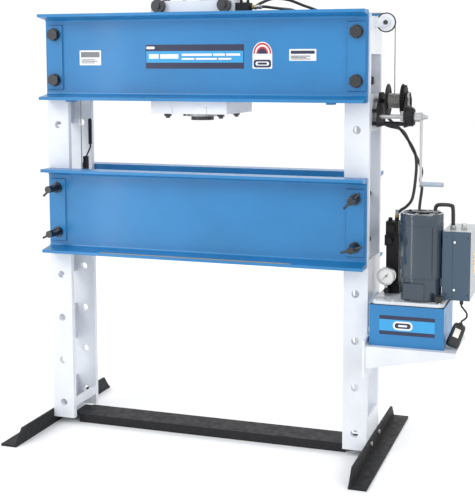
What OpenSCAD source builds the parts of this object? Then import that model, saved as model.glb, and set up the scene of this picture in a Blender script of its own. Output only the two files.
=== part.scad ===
// Hydraulic shop press: a pinned H-frame with a rolling cylinder carriage, a rope
// winch that carries the bed, and an electric pump on a side shelf.
// X runs along the crown, Y from front to back, Z up. The floor is z = 0.

/* [Frame] */
// Depth of the crown and bed channels, over their flanges
channel_depth = 381; // [340:1:460]
// Overall flange width of a channel, from the back of its web
channel_flange = 86; // [70:1:110]
// Web thickness of a channel
channel_web = 10; // [8:1:16]
// Flange thickness of a channel at its tip
channel_tip = 13; // [10:1:16]
// Length of the crown and of the bed
crown_length = 1490; // [1400:1:1900]
// Clear width between the two uprights
opening_w = 1290; // [1100:1:1350]
// Underside of the crown above the floor
crown_base_z = 1524; // [1500:1:1900]
// Width of an upright post bar
post_w = 106; // [90:1:130]
// Thickness of an upright post bar
post_t = 25; // [20:1:32]
// Gap between the front and the rear post bar
post_gap = 194; // [180:1:240]
// Underside of the posts above the floor
post_base_z = 34; // [30:1:60]
// Thickness of the battens that join front and rear posts
batten_t = 10; // [8:1:16]

/* [Pins and bolts] */
// Distance between neighbouring pin holes
hole_pitch = 203.2; // [170:0.1:215]
// Height of the lowest pin hole
first_hole_z = 106; // [95:1:140]
// Diameter of the bed pins
pin_d = 31.75; // [25:0.25:36]
// Extra diameter of a pin hole over its pin
pin_play = 1.55; // [1:0.05:3]
// Thickness of the doubler pads round the pin holes
pad_t = 8; // [5:1:12]
// Width of a doubler pad
pad_w = 76; // [60:1:90]
// Thickness of the washer under each crown bolt
washer_t = 4; // [3:1:6]
// Size across flats of the crown bolt heads and nuts
crown_hex = 48; // [40:1:52]

/* [Base] */
// Length of each foot, front to back
foot_length = 914; // [700:1:1200]
// Leg width of the foot angle
foot_leg = 76; // [60:1:110]
// Thickness of the foot angle
foot_t = 9.5; // [8:0.5:14]
// Length that the foot's upright leg is cut back at each end
foot_cut = 60; // [30:1:120]
// Width of the floor channel
sill_w = 140; // [110:1:170]
// Height of the floor channel
sill_h = 40; // [38:1:60]

/* [Cylinder and carriage] */
// Sideways place of the cylinder, from the middle of the press
carriage_x = -38; // [-300:1:300]
// Outside diameter of the cylinder barrel
barrel_d = 160; // [140:1:162]
// Bore of the cylinder
bore_d = 130; // [110:1:134]
// Diameter of the ram
ram_d = 95; // [70:1:100]
// Working stroke of the ram
stroke = 333; // [200:1:350]
// Spread of the tie rods along the crown
rod_span_x = 250; // [230:1:300]
// Spread of the tie rods front to back
rod_span_y = 200; // [196:1:204]
// Diameter of a tie rod
rod_d = 19; // [16:1:22]
// Width of the cylinder mount along the crown
mount_w = 353; // [340:1:450]
// Depth of the cylinder mount, front to back
mount_depth = 332; // [300:1:400]
// Diameter of a carriage roller
roller_d = 60; // [50:1:72]
// Distance between the two rollers of a side
roller_span = 306; // [290:1:380]

/* [Winch and rope] */
// Diameter of the lifting rope
rope_d = 5; // [4:0.5:6]
// Pitch diameter of a rope pulley, to the rope's middle
pulley_pitch_d = 76; // [60:1:80]
// Gear module of the winch
gear_module = 4; // [3:0.5:4.5]
// Teeth on the drum gear
drum_teeth = 32; // [28:1:36]
// Teeth on the crank pinion
pinion_teeth = 10; // [10:1:12]
// Length of the crank, from its shaft to its grip
crank_r = 280; // [200:1:320]
// Diameter of the drum flanges
drum_flange_d = 144; // [130:1:146]
// Distance between the drum flanges
drum_w = 58; // [40:1:60]

/* [Pump] */
// Top of the pump shelf above the floor
shelf_z = 520; // [430:1:600]
// Length of the shelf out from the upright
shelf_l = 374; // [365:1:450]
// Depth of the shelf, front to back
shelf_depth = 310; // [290:1:340]
// Width of the oil reservoir
tank_w = 310; // [290:1:340]
// Depth of the oil reservoir, front to back
tank_depth = 250; // [240:1:290]
// Height of the oil reservoir
tank_h = 172; // [120:1:220]
// Wall thickness of the oil reservoir
tank_wall = 3; // [2:0.5:5]
// Diameter of the motor shell
motor_d = 180; // [150:1:186]
// Height of the motor above the reservoir lid
motor_h = 362; // [280:1:420]
// Diameter of the pressure gauge
gauge_d = 76; // [60:1:90]
// Width of the control box
box_w = 115; // [100:1:140]
// Depth of the control box, front to back
box_depth = 230; // [160:1:240]
// Height of the control box
box_h = 286; // [220:1:320]

/* [Hidden] */
$fn = 48;
eps = 0.01;
gap = 0.3;                 // clearance kept where pieces of different bodies face each other
blue = [0.20, 0.50, 0.80];
white = [0.92, 0.93, 0.95];
black = [0.13, 0.13, 0.14];
slate = [0.30, 0.38, 0.44];
steel = [0.66, 0.67, 0.69];
dark_steel = [0.30, 0.30, 0.32];
brass = [0.80, 0.64, 0.34];

post_in = opening_w / 2;                    // inner face of an upright
post_out = post_in + post_w;                // outer face of an upright
post_x = post_in + post_w / 2;              // middle line of the pin holes
post_y_in = post_gap / 2;                   // inner face of a post bar
web_y_in = post_y_in + post_t;              // back of a channel web
web_y_out = web_y_in + channel_web;         // front of a channel web
tip_y = web_y_in + channel_flange;          // tip of a channel flange
pad_y = web_y_out + pad_t;                  // outer face of a doubler pad
crown_top_z = crown_base_z + channel_depth;
crown_mid_z = crown_base_z + channel_depth / 2;
post_top_z = crown_top_z - 15;
hole_d = pin_d + pin_play;
bed_low_z = first_hole_z + 4 * hole_pitch;  // lower bed pin
bed_mid_z = bed_low_z + hole_pitch / 2;
bed_base_z = bed_mid_z - channel_depth / 2;
crown_bolt_zs = [crown_mid_z - hole_pitch / 2, crown_mid_z + hole_pitch / 2];
bed_pin_zs = [bed_low_z, bed_low_z + hole_pitch];
spare_hole_z = crown_bolt_zs[0] - hole_pitch;
hole_zs = [for (i = [0:5]) first_hole_z + i * hole_pitch];
all_hole_zs = concat(hole_zs, [spare_hole_z], crown_bolt_zs);

foot_out = post_out + foot_leg;             // outermost edge of a foot
shelf_x = post_out + 10;                    // outer face of the shelf's mounting plate
tank_x = shelf_x + 11;                      // left side of the reservoir
tank_y = -185;                              // front of the reservoir
tank_top = shelf_z + tank_h;
gasket_t = 3;
lid_t = 12;
lid_top = tank_top + gasket_t + lid_t;
motor_x = tank_x + 196;
motor_y = tank_y + 110;
motor_top = lid_top + motor_h;
box_x = motor_x + motor_d / 2 + 2;          // left side of the control box
box_y = -112;                               // front of the control box
box_z = lid_top + 8;                        // underside of the control box
box_right = box_x + box_w;
origin_x = (box_right - foot_out) / 2;      // middle of the whole press, side to side

roller_w = 22;
roller_y = web_y_out - 3;                   // middle of a roller's rim
roller_z = crown_top_z + roller_d / 2 + 0.2;
bar_h = 50;                                 // carriage side bars
bar_w = 32;
bar_y = rod_span_y / 2;
bar_z = crown_top_z + 3;
bar_top = bar_z + bar_h;
frame_half = roller_span / 2 + 42;          // half length of the carriage
mount_top = crown_base_z - 0.5;
mount_h = 55;
mount_plate = 25;
mount_floor = 8;
mount_base = mount_top - mount_h;
collar_d = barrel_d + 30;
barrel_top = bar_top - 8;
gland_h = 14;
gland_d = barrel_d - 10;
ram_base = mount_base - gland_h - 18;       // lower face of the saddle
piston_t = 35;
piston_z = barrel_top - 25 - piston_t - 2;
stop_x = 585;                               // inner face of the carriage stops

winch_y = 10;                               // drum axis
winch_z = crown_base_z + 5;
winch_plate_t = 6;
winch_left = post_out + 20;                 // inner plate of the winch
drum_x = winch_left + winch_plate_t + 24;   // outer face of the inner drum flange
flange_t = 4;
rope_wrap_r = 35;
gear_x = drum_x + drum_w + 2 * flange_t + 2;
gear_t = 10;
winch_right = gear_x + gear_t + 6;          // outer plate of the winch
gear_r = gear_module * drum_teeth / 2;
pinion_r = gear_module * pinion_teeth / 2;
gear_distance = gear_r + pinion_r;
pinion_angle = 40;                          // of the pinion below the drum axis, towards the front
pinion_y = winch_y - gear_distance * sin(pinion_angle);
pinion_z = winch_z - gear_distance * cos(pinion_angle);
cover_x = winch_right + winch_plate_t;
cover_l = 34;
hub_l = 26;
crank_x = cover_x + cover_l + hub_l;
crank_t = 6;
grip_l = 90;
pawl_y = pinion_y + 22;
pawl_z = winch_z + 26;
rope_y = winch_y - rope_wrap_r;
pulley_r = pulley_pitch_d / 2;
pulley_z = crown_top_z - 49;
pulley_x = drum_x + flange_t + drum_w / 2 - pulley_r + 2;
rope_x = pulley_x + pulley_r;
inner_pulley_x = 633 + pulley_r;
guide_d = 60;                               // round spacers that guide the rope in the bed
guide_r = guide_d / 2 + rope_d / 2 + gap;
guide_x = inner_pulley_x - pulley_r - guide_r;
guide_z = bed_mid_z - 60;
rope_left_x = -(guide_x + guide_r);

valve_x = tank_x + 28;
valve_w = 60;
gauge_x = tank_x + 46;
gauge_y = -62;
gauge_z = lid_top + 84;

hose_d = 13;
cord_d = 8;
// Route of each cord, from the piece that it leaves to the piece that it enters.
pressure_route = [
    [229.8, -90, 1926], [242, -88.9, 1928], [268, -80, 1944], [304, -30, 1964], [350, 40, 1962],
    [395, 120, 1942], [422, 178, 1930], [438, 214, 1920], [450, 232, 1896], [464, 237, 1855], [500, 235, 1780], [560, 235, 1680],
    [640, 235, 1580], [720, 228, 1490], [780, 205, 1430], [827, 180, 1395], [885, 150, 1321],
    [904, 130, 1272], [909, 100, 1205], [903, 60, 1113], [882, 40, 1078], [860, 33, 1062],
    [844, 32.1, 1045], [842, 32, 1029.7]
];
return_route = [
    [229.8, -68, 1926], [242, -64.8, 1926.4], [264, -38, 1930], [290, 20, 1928], [310, 90, 1927],
    [325, 165, 1927], [335, 212, 1920], [344, 231, 1896], [358, 237, 1850], [400, 236, 1760], [470, 236, 1650], [560, 236, 1550],
    [660, 232, 1470], [750, 220, 1415], [828, 200, 1393], [872, 180, 1326], [924, 150, 1231],
    [925, 120, 1184], [936, 100, 1152], [933, 70, 1082], [932, 50, 1000], [930, 40, 900],
    [930, 38, 727.3]
];
pendant_route = [
    [1140, -100, 698.6], [1140.4, -100.2, 690.5], [1151, -107, 680], [1163, -117, 668],
    [1166.5, -128, 655], [1159, -137, 645.5], [1148.4, -140, 638.2], [1145.4, -140, 629.9]
];

// Moves the press from its own middle line to the middle of its whole outline.
module press() { translate([-origin_x, 0, 0]) children(); }

// Both sides of the press, seen from the middle line.
module both_sides() { for (s = [-1, 1]) scale_x(s) children(); }
module scale_x(s) { if (s < 0) mirror([1, 0, 0]) children(); else children(); }

// Front and rear.
module both_faces() { for (s = [-1, 1]) scale_y(s) children(); }
module scale_y(s) { if (s < 0) mirror([0, 1, 0]) children(); else children(); }

module rod_y(x, z, y0, y1, d) { translate([x, y1, z]) rotate([90, 0, 0]) cylinder(d = d, h = y1 - y0); }
module rod_x(y, z, x0, x1, d) { translate([x0, y, z]) rotate([0, 90, 0]) cylinder(d = d, h = x1 - x0); }
module rod_z(x, y, z0, z1, d) { translate([x, y, z0]) cylinder(d = d, h = z1 - z0); }
module block(x, y, z) { translate([x[0], y[0], z[0]]) cube([x[1] - x[0], y[1] - y[0], z[1] - z[0]]); }

// Hexagon of a given size across flats, as a bolt head or nut along Z.
module hex_z(flats, h) { rotate(30) cylinder(d = flats / cos(30), h = h, $fn = 6); }

// ---- crown and bed channels ----

// A channel's outline: its web stands on y = 0 and its flanges point to -Y. The inner
// face of each flange slopes as on rolled steel, and its root is rounded.
flange_root = channel_tip + (channel_flange - channel_web) / 8;
root_r = 12;
function channel_half(s, h) = [
    [0, s * h / 2], [-channel_flange, s * h / 2], [-channel_flange, s * (h / 2 - channel_tip)],
    for (a = [0:15:90])
        [-channel_web - root_r + root_r * sin(a), s * (h / 2 - flange_root - root_r + root_r * cos(a))]
];
function reversed(p) = [for (i = [len(p) - 1:-1:0]) p[i]];
// A channel along X, its web towards the posts, with pin holes through the web.
module channel(mid_z, zs) {
    difference() {
        translate([-crown_length / 2, -web_y_in, mid_z])
            rotate([90, 0, 90])
                linear_extrude(crown_length)
                    polygon(concat(channel_half(1, channel_depth), reversed(channel_half(-1, channel_depth))));
        for (x = [-post_x, post_x], z = zs)
            rod_y(x, z, -web_y_out - 1, -web_y_in + 1, hole_d);
    }
}
module crown_front_channel() { press() color(blue) channel(crown_mid_z, crown_bolt_zs); }
module crown_rear_channel() { press() color(blue) mirror([0, 1, 0]) channel(crown_mid_z, crown_bolt_zs); }
module bed_front_channel() { press() color(blue) channel(bed_mid_z, bed_pin_zs); }
module bed_rear_channel() { press() color(blue) mirror([0, 1, 0]) channel(bed_mid_z, bed_pin_zs); }

// Doubler pads welded round the pin holes, and the stop tabs that end the carriage's run.
module doubler_pads() {
    pad_h = hole_pitch + 80;
    press() color(blue) both_faces() {
        for (x = [-post_x, post_x], zs = [crown_bolt_zs, bed_pin_zs])
            difference() {
                block([x - pad_w / 2, x + pad_w / 2], [-pad_y, -web_y_out], [zs[0] - 40, zs[0] - 40 + pad_h]);
                for (z = zs) rod_y(x, z, -pad_y - 1, -web_y_out + 1, hole_d);
            }
        for (x = [-stop_x - 30, stop_x])
            block([x, x + 30], [-tip_y + 10, -mount_depth / 2 + 20], [crown_base_z - 8, crown_base_z]);
    }
}

// Bolts with washers and nuts that hold the crown, and the axles of the two rope pulleys.
module crown_bolts() {
    shank_in = post_y_in - 36;
    press() color(black) {
        both_faces() for (x = [-post_x, post_x], z = crown_bolt_zs) {
            rod_y(x, z, -pad_y - washer_t, -shank_in, pin_d);
            rod_y(x, z, -pad_y - washer_t, -pad_y, crown_hex + 8);
            translate([x, -pad_y - washer_t, z]) rotate([90, 0, 0]) hex_z(crown_hex, 20);
            translate([x, -post_y_in + 27, z]) rotate([90, 0, 0]) difference() {
                hex_z(crown_hex, 27);
                translate([0, 0, -1]) cylinder(d = pin_d - 2, h = 29);
            }
        }
        rod_y(inner_pulley_x, pulley_z, -post_y_in, post_y_in, 12);
        rod_y(pulley_x, pulley_z, rope_y - 16, rope_y + 16, 12);
        for (y = [rope_y - 20, rope_y + 14])
            translate([pulley_x, y + 6, pulley_z]) rotate([90, 0, 0]) hex_z(18, 6);
        rod_y(rope_left_x, crown_mid_z + 90, -web_y_in, web_y_in, 16);
    }
}

// ---- uprights ----

module post_bar() {
    difference() {
        block([post_in, post_out], [-web_y_in, -post_y_in], [post_base_z, post_top_z]);
        for (z = all_hole_zs) rod_y(post_x, z, -web_y_in - 1, -post_y_in + 1, hole_d);
    }
}
module left_front_post() { press() color(white) mirror([1, 0, 0]) post_bar(); }
module right_front_post() { press() color(white) post_bar(); }
module left_rear_post() { press() color(white) mirror([1, 0, 0]) mirror([0, 1, 0]) post_bar(); }
module right_rear_post() { press() color(white) mirror([0, 1, 0]) post_bar(); }

// Battens between the two bars of an upright, with the ledge that carries the floor channel.
ledge_l = 60;
base_bolt_z = post_base_z + 20;
base_bolt_d = 12;
base_bolt_y = 78;
module battens() {
    spans = [
        [post_base_z, 141], [shelf_z - 160, 170], [bed_low_z - 229, 170],
        [winch_z - 124, 153], [pulley_z - 131, 155]
    ];
    difference() {
        union() {
            for (s = spans)
                block([post_out - batten_t, post_out], [-post_y_in, post_y_in], [s[0], s[0] + s[1]]);
            block([post_out - batten_t - ledge_l, post_out - batten_t + eps],
                [-sill_w / 2 + 10, sill_w / 2 - 10], [sill_h, sill_h + 10]);
            block([post_in, post_in + 12], [-post_y_in, post_y_in], [post_base_z + 51, post_base_z + 91]);
        }
        for (y = [-base_bolt_y, base_bolt_y])
            rod_x(y, base_bolt_z, post_out - batten_t - 1, post_out + 1, base_bolt_d + 1);
        for (y = [-30, 30])
            rod_z(post_out - batten_t - ledge_l / 2, y, sill_h - 1, sill_h + 11, base_bolt_d + 1);
    }
}
module left_battens() { press() color(white) mirror([1, 0, 0]) battens(); }
// The right upright's battens also carry the forked bracket of the outer pulley.
module right_battens() {
    press() color(white) {
        battens();
        for (y = [rope_y - 14, rope_y + 8])
            difference() {
                hull() {
                    block([post_out, post_out + 4], [y, y + 6], [pulley_z - 20, pulley_z + 20]);
                    rod_y(pulley_x, pulley_z, y, y + 6, 34);
                }
                rod_y(pulley_x, pulley_z, y - 1, y + 7, 12.6);
            }
    }
}

// ---- base ----

module foot() {
    half = foot_length / 2;
    difference() {
        union() {
            block([post_out, foot_out], [-half, half], [0, foot_t]);
            translate([post_out, 0, 0]) rotate([90, 0, 90]) linear_extrude(foot_t)
                polygon([[-half, 0], [half, 0], [half - foot_cut, foot_leg - 6], [foot_cut - half, foot_leg - 6]]);
        }
        for (y = [-base_bolt_y, base_bolt_y])
            rod_x(y, base_bolt_z, post_out - 1, post_out + foot_t + 1, base_bolt_d + 1);
    }
}
module left_foot() { press() color(black) mirror([1, 0, 0]) foot(); }
module right_foot() { press() color(black) foot(); }

// Channel that lies on the floor between the uprights, its web upwards.
module floor_channel() {
    tongue = post_out - batten_t - 4;
    press() color(black) difference() {
        union() {
            block([-post_in, post_in], [-sill_w / 2, sill_w / 2], [0, sill_h]);
            block([-tongue, tongue], [-sill_w / 2 + 10, sill_w / 2 - 10], [sill_h - 8, sill_h]);
        }
        block([-post_in - 1, post_in + 1], [-sill_w / 2 + 8, sill_w / 2 - 8], [-1, sill_h - 8]);
        for (x = [-1, 1], y = [-30, 30])
            rod_z(x * (post_out - batten_t - ledge_l / 2), y, sill_h - 9, sill_h + 1, base_bolt_d + 1);
    }
}

// Bolts through the feet and through the floor channel's ends.
module base_bolts() {
    bolt_x = post_out - batten_t - ledge_l / 2;
    press() color(steel) both_sides() {
        for (y = [-base_bolt_y, base_bolt_y]) {
            rod_x(y, base_bolt_z, post_out - batten_t - 12, post_out + foot_t + 1, base_bolt_d);
            translate([post_out + foot_t, y, base_bolt_z]) rotate([0, 90, 0]) hex_z(19, 8);
            translate([post_out - batten_t - 10, y, base_bolt_z]) rotate([0, 90, 0]) hex_z(19, 10);
        }
        for (y = [-30, 30]) {
            rod_z(bolt_x, y, sill_h - 14, sill_h + 26, base_bolt_d);
            translate([bolt_x, y, sill_h + 10]) hex_z(19, 11);
            translate([bolt_x, y, sill_h - 16]) hex_z(19, 8);
        }
    }
}

// Round spacers welded between the bed's webs. The lifting rope runs under the two outer ones.
module bed_spacers() {
    press() color(blue) {
        for (x = [-guide_x, guide_x]) rod_y(x, guide_z, -web_y_in, web_y_in, guide_d);
        for (x = [-guide_x + 95, guide_x - 95], z = [bed_mid_z - 130, bed_mid_z + 120])
            rod_y(x, z, -web_y_in, web_y_in, 50);
    }
}

// Bed pin with its collar, and the bar that it is pulled out by.
pin_front_y = -228;
pin_rear_y = 152;
module bed_pin(side, z, bar_angle) {
    press() color(black) translate([side * post_x, 0, z]) {
        rod_y(0, 0, pin_front_y + 1, pin_rear_y, pin_d);
        rod_y(0, 0, pin_front_y, pin_front_y + 1, pin_d - 4);
        rod_y(0, 0, -pad_y - gap - 12, -pad_y - gap, 46);
        translate([0, pin_front_y + 24, 0]) rotate([0, 90 - bar_angle, 0])
            translate([0, 0, -48]) cylinder(d = 10, h = 96);
    }
}
module left_upper_pin() { bed_pin(-1, bed_pin_zs[1], 42); }
module left_lower_pin() { bed_pin(-1, bed_pin_zs[0], 27); }
module right_upper_pin() { bed_pin(1, bed_pin_zs[1], 44); }
module right_lower_pin() { bed_pin(1, bed_pin_zs[0], 18); }

// ---- carriage and cylinder, drawn round the cylinder's own axis ----

module carriage() { press() translate([carriage_x, 0, 0]) children(); }
axle_d = 16;
axle_z = roller_z;

// Two side bars joined by a cross bar at each end. The tie rods pass down through the side bars.
module carriage_frame() {
    y_in = bar_y - bar_w / 2;
    carriage() color(white) difference() {
        union() {
            both_faces() block([-frame_half, frame_half], [-y_in - bar_w, -y_in], [bar_z, bar_top]);
            both_sides() block([frame_half - bar_w, frame_half], [-y_in, y_in], [bar_z, bar_top]);
        }
        for (x = [-rod_span_x / 2, rod_span_x / 2], y = [-bar_y, bar_y])
            rod_z(x, y, bar_z - 1, bar_top + 1, rod_d + 1);
        for (x = [-roller_span / 2, roller_span / 2], s = [-1, 1])
            scale_y(s) rod_y(x, axle_z, -y_in - bar_w - 1, -y_in + 1, axle_d + 0.5);
    }
}
module roller(x, s) {
    carriage() color(black) scale_y(s) difference() {
        union() {
            rod_y(x, roller_z, -roller_y - roller_w / 2, -roller_y + roller_w / 2, roller_d);
            rod_y(x, roller_z, -roller_y - roller_w / 2 - 2, -roller_y, roller_d - 22);
        }
        rod_y(x, roller_z, -roller_y - roller_w, -roller_y + roller_w, axle_d + 0.12);
    }
}
module front_left_roller() { roller(-roller_span / 2, 1); }
module front_right_roller() { roller(roller_span / 2, 1); }
module rear_left_roller() { roller(-roller_span / 2, -1); }
module rear_right_roller() { roller(roller_span / 2, -1); }

// Tie rods with their nuts, and the headed axles of the rollers.
module carriage_fasteners() {
    nut_h = 13;
    carriage() color(dark_steel) {
        for (x = [-rod_span_x / 2, rod_span_x / 2], y = [-bar_y, bar_y]) {
            rod_z(x, y, mount_base - nut_h - 8, bar_top + nut_h + 3, rod_d);
            translate([x, y, bar_top]) hex_z(28, nut_h);
            translate([x, y, mount_base - nut_h]) hex_z(28, nut_h);
        }
        for (x = [-roller_span / 2, roller_span / 2], s = [-1, 1]) scale_y(s) {
            rod_y(x, axle_z, -roller_y - roller_w / 2 - 4, -bar_y + bar_w / 2, axle_d);
            rod_y(x, axle_z, -roller_y - roller_w / 2 - 8, -roller_y - roller_w / 2 - 2.5, 26);
        }
    }
}

// Box under the crown that takes the cylinder's thrust against the bottom flanges.
module cylinder_mount() {
    wall = 8;
    hx = mount_w / 2;
    hy = mount_depth / 2;
    carriage() color(white) difference() {
        union() {
            block([-hx, hx], [-hy, hy], [mount_top - mount_plate, mount_top]);
            block([-hx, hx], [-hy, hy], [mount_base, mount_base + mount_floor]);
            both_faces() block([-hx, hx], [-hy, wall - hy], [mount_base, mount_top]);
            both_sides() block([hx - wall, hx], [-hy, hy], [mount_base, mount_top]);
            both_faces() for (x = [-80, 80]) block([x - 4, x + 4], [-hy - 3, -collar_d / 2 - 2],
                [mount_base, mount_top - mount_plate]);
        }
        translate([0, 0, mount_top - mount_plate - 1]) cylinder(d = barrel_d + 1, h = mount_plate + 2, $fn = 96);
        translate([0, 0, mount_base - 1]) cylinder(d = barrel_d + 4, h = mount_floor + 2, $fn = 96);
        for (x = [-rod_span_x / 2, rod_span_x / 2], y = [-bar_y, bar_y])
            rod_z(x, y, mount_base - 1, mount_top + 1, rod_d + 1);
    }
}

// Barrel, closed at the top, with the collar that the mount traps.
module cylinder_barrel() {
    collar_z = mount_base + mount_floor;
    collar_top = mount_top - mount_plate;
    carriage() color(slate) difference() {
        union() {
            rod_z(0, 0, mount_base, barrel_top, barrel_d);
            rod_z(0, 0, collar_z, collar_top, collar_d);
            rod_z(0, 0, barrel_top - 2, barrel_top + 6, barrel_d - 60);
        }
        rod_z(0, 0, mount_base - 1, barrel_top - 25, bore_d);
    }
}
module gland_nut() {
    carriage() color(dark_steel) difference() {
        union() {
            rod_z(0, 0, mount_base - gland_h, mount_base, gland_d);
            rod_z(0, 0, mount_base - eps, mount_base + 30, bore_d - 0.2);
        }
        rod_z(0, 0, mount_base - gland_h - 1, mount_base + 31, ram_d + 0.12);
        for (a = [0:60:300]) rotate(a) block([gland_d / 2 - 8, gland_d], [-6, 6],
            [mount_base - gland_h - 1, mount_base - gland_h + 8]);
    }
}
// Ram and its piston.
module ram() {
    carriage() color(steel) {
        rod_z(0, 0, ram_base + 16, piston_z + 1, ram_d);
        difference() {
            rod_z(0, 0, piston_z, piston_z + piston_t, bore_d - 0.12);
            for (z = [8, 22]) translate([0, 0, piston_z + z]) difference() {
                cylinder(d = bore_d + 4, h = 5);
                translate([0, 0, -1]) cylinder(d = bore_d - 8, h = 7);
            }
        }
        rod_z(0, 0, ram_base + 4, ram_base + 17, 40);
    }
}
// Grooved saddle on the end of the ram.
module ram_saddle() {
    carriage() color(dark_steel) difference() {
        rod_z(0, 0, ram_base, ram_base + 16, ram_d + 7);
        rod_z(0, 0, ram_base + 4, ram_base + 17, 40.2);
        for (r = [28, 38]) translate([0, 0, ram_base - 1]) difference() {
            cylinder(r = r + 2, h = 3);
            translate([0, 0, -1]) cylinder(r = r - 2, h = 5);
        }
        for (a = [0:30:330]) rotate(a) block([ram_d / 2, ram_d], [-3, 3], [ram_base - 1, ram_base + 7]);
    }
}
// Block that the hoses are screwed into, with its two pipes to the barrel.
port_l = 60;
port_z = bar_z + 18;
hose_ys = [-90, -68];
pipe_ys = [-74, -60];
module port_block() {
    pipe_z = bar_top + 8;
    carriage() {
        color(black) {
            block([frame_half, frame_half + port_l], [-105, -53], [bar_z, bar_z + 37]);
            for (y = hose_ys) {
                rod_x(y, port_z, frame_half + port_l - 1, frame_half + port_l + 12, 18);
            }
            for (i = [0, 1]) rod_z(frame_half + 16 + 26 * i, pipe_ys[i], bar_z + 36, bar_top, 13);
        }
        color(steel) for (i = [0, 1]) {
            x = frame_half + 16 + 26 * i;
            drop = [20 + 20 * i, -20 + 12 * i];
            rod_z(x, pipe_ys[i], bar_top - 1, pipe_z + 4, 8);
            rod_x(pipe_ys[i], pipe_z, drop[0], x, 8);
            rod_y(drop[0], pipe_z, pipe_ys[i], drop[1], 8);
            rod_z(drop[0], drop[1], barrel_top + 6, pipe_z + 4, 8);
        }
    }
}

// ---- winch ----

// Outline of a winch side plate in the YZ plane.
module winch_plate(x) {
    y0 = pinion_y - 38;
    y1 = winch_y + 74;
    z0 = pinion_z - 44;
    z1 = winch_z + 36;
    press() translate([x, 0, 0]) rotate([90, 0, 90]) linear_extrude(winch_plate_t) difference() {
        polygon([[y0, z0 + 10], [y0 + 10, z0], [y1 - 10, z0], [y1, z0 + 10], [y1, z1 - 30], [winch_y + 40, z1],
            [winch_y - 40, z1], [y0, pinion_z + 34]]);
        translate([winch_y, winch_z]) circle(d = 20.1);
        translate([pinion_y, pinion_z]) circle(d = 18.1);
    }
}
module winch_frame() {
    color(black) winch_plate(winch_left);
    color(black) winch_plate(winch_right);
    press() color(steel) {
        for (y = [pinion_y - 20, winch_y + 56])
            rod_x(y, pinion_z - 32, winch_left + winch_plate_t, winch_right, 12);
        for (p = [[pinion_y - 22, pinion_z - 30], [pinion_y - 22, pinion_z + 24],
                [winch_y + 56, pinion_z - 30], [winch_y + 56, winch_z]])
            rod_x(p[0], p[1], post_out, winch_left, 16);
        rod_x(pawl_y, pawl_z, winch_right, cover_x + 9, 8);
        rod_x(pawl_y, pawl_z, cover_x + 8 + 2 * gap, cover_x + 12, 13);
    }
}

// Spur gear outline with involute flanks, a tooth centred on the first axis.
function involute(base_r, roll) = [
    base_r * (cos(roll) + roll * PI / 180 * sin(roll)),
    base_r * (sin(roll) - roll * PI / 180 * cos(roll))
];
function turn(p, a) = [p[0] * cos(a) - p[1] * sin(a), p[0] * sin(a) + p[1] * cos(a)];
module spur_gear(teeth, play) {
    pressure = 25;
    pitch_r = gear_module * teeth / 2;
    base_r = pitch_r * cos(pressure);
    tip_r = pitch_r + 0.9 * gear_module;
    root_r = pitch_r - 1.15 * gear_module;
    pitch_roll = tan(pressure) * 180 / PI;
    tip_roll = sqrt(pow(tip_r / base_r, 2) - 1) * 180 / PI;
    half = 90 / teeth - play / pitch_r * 180 / PI;
    lean = half + pitch_roll - pressure;
    flank = [for (i = [0:5]) turn(involute(base_r, tip_roll * i / 5), -lean)];
    other = [for (i = [5:-1:0]) [flank[i][0], -flank[i][1]]];
    foot_a = atan2(flank[0][1], flank[0][0]);
    foot_pt = [root_r * cos(foot_a), root_r * sin(foot_a)];
    tooth = concat([foot_pt], flank, other, [[foot_pt[0], -foot_pt[1]]]);
    polygon([for (k = [0:teeth - 1]) each [for (p = tooth) turn(p, k * 360 / teeth)]]);
}
mesh_play = 0.12;

module winch_drum() {
    press() translate([0, winch_y, winch_z]) rotate([0, 90, 0]) {
        color(black) difference() {
            union() {
                translate([0, 0, drum_x]) cylinder(d = drum_flange_d, h = flange_t, $fn = 96);
                translate([0, 0, drum_x + flange_t + drum_w]) cylinder(d = drum_flange_d, h = flange_t, $fn = 96);
                translate([0, 0, drum_x + 1]) cylinder(d = 44, h = gear_x - drum_x);
            }
            for (a = [0:90:270]) rotate(a + 45) translate([52, 0, drum_x - 1])
                cylinder(d = 16, h = drum_w + 2 * flange_t + 2);
        }
        color(steel) {
            translate([0, 0, gear_x]) rotate(-pinion_angle) linear_extrude(gear_t)
                spur_gear(drum_teeth, mesh_play);
            translate([0, 0, winch_left - 6]) cylinder(d = 20, h = cover_x + 8 - winch_left);
            translate([0, 0, winch_left - 8]) hex_z(28, 7.7);
            translate([0, 0, cover_x + gap]) hex_z(30, 10);
        }
    }
}
// Two layers of rope wound on the drum.
module drum_rope() {
    x0 = drum_x + flange_t + gap;
    wraps = floor((drum_w - 2 * gap) / rope_d);
    press() color(steel) translate([0, winch_y, winch_z]) rotate([0, 90, 0]) translate([0, 0, x0])
        rotate_extrude($fn = 64) {
            translate([22, 0]) square([rope_wrap_r - rope_d - gap - 22, wraps * rope_d]);
            for (i = [0:wraps - 1])
                translate([rope_wrap_r - rope_d - gap, (i + 0.5) * rope_d]) circle(d = rope_d, $fn = 10);
        }
}
module winch_pinion() {
    press() color(steel) translate([0, pinion_y, pinion_z]) rotate([0, 90, 0]) {
        translate([0, 0, winch_left - 4]) cylinder(d = 18, h = crank_x + 34 - winch_left);
        translate([0, 0, gear_x - 1]) rotate(180 - pinion_angle + 180 / pinion_teeth)
            linear_extrude(gear_t + 2) spur_gear(pinion_teeth, mesh_play);
        translate([0, 0, cover_x + cover_l + gap]) cylinder(d = 42, h = hub_l - gap);
        translate([0, 0, crank_x + crank_t]) hex_z(27, 10);
    }
}
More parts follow.
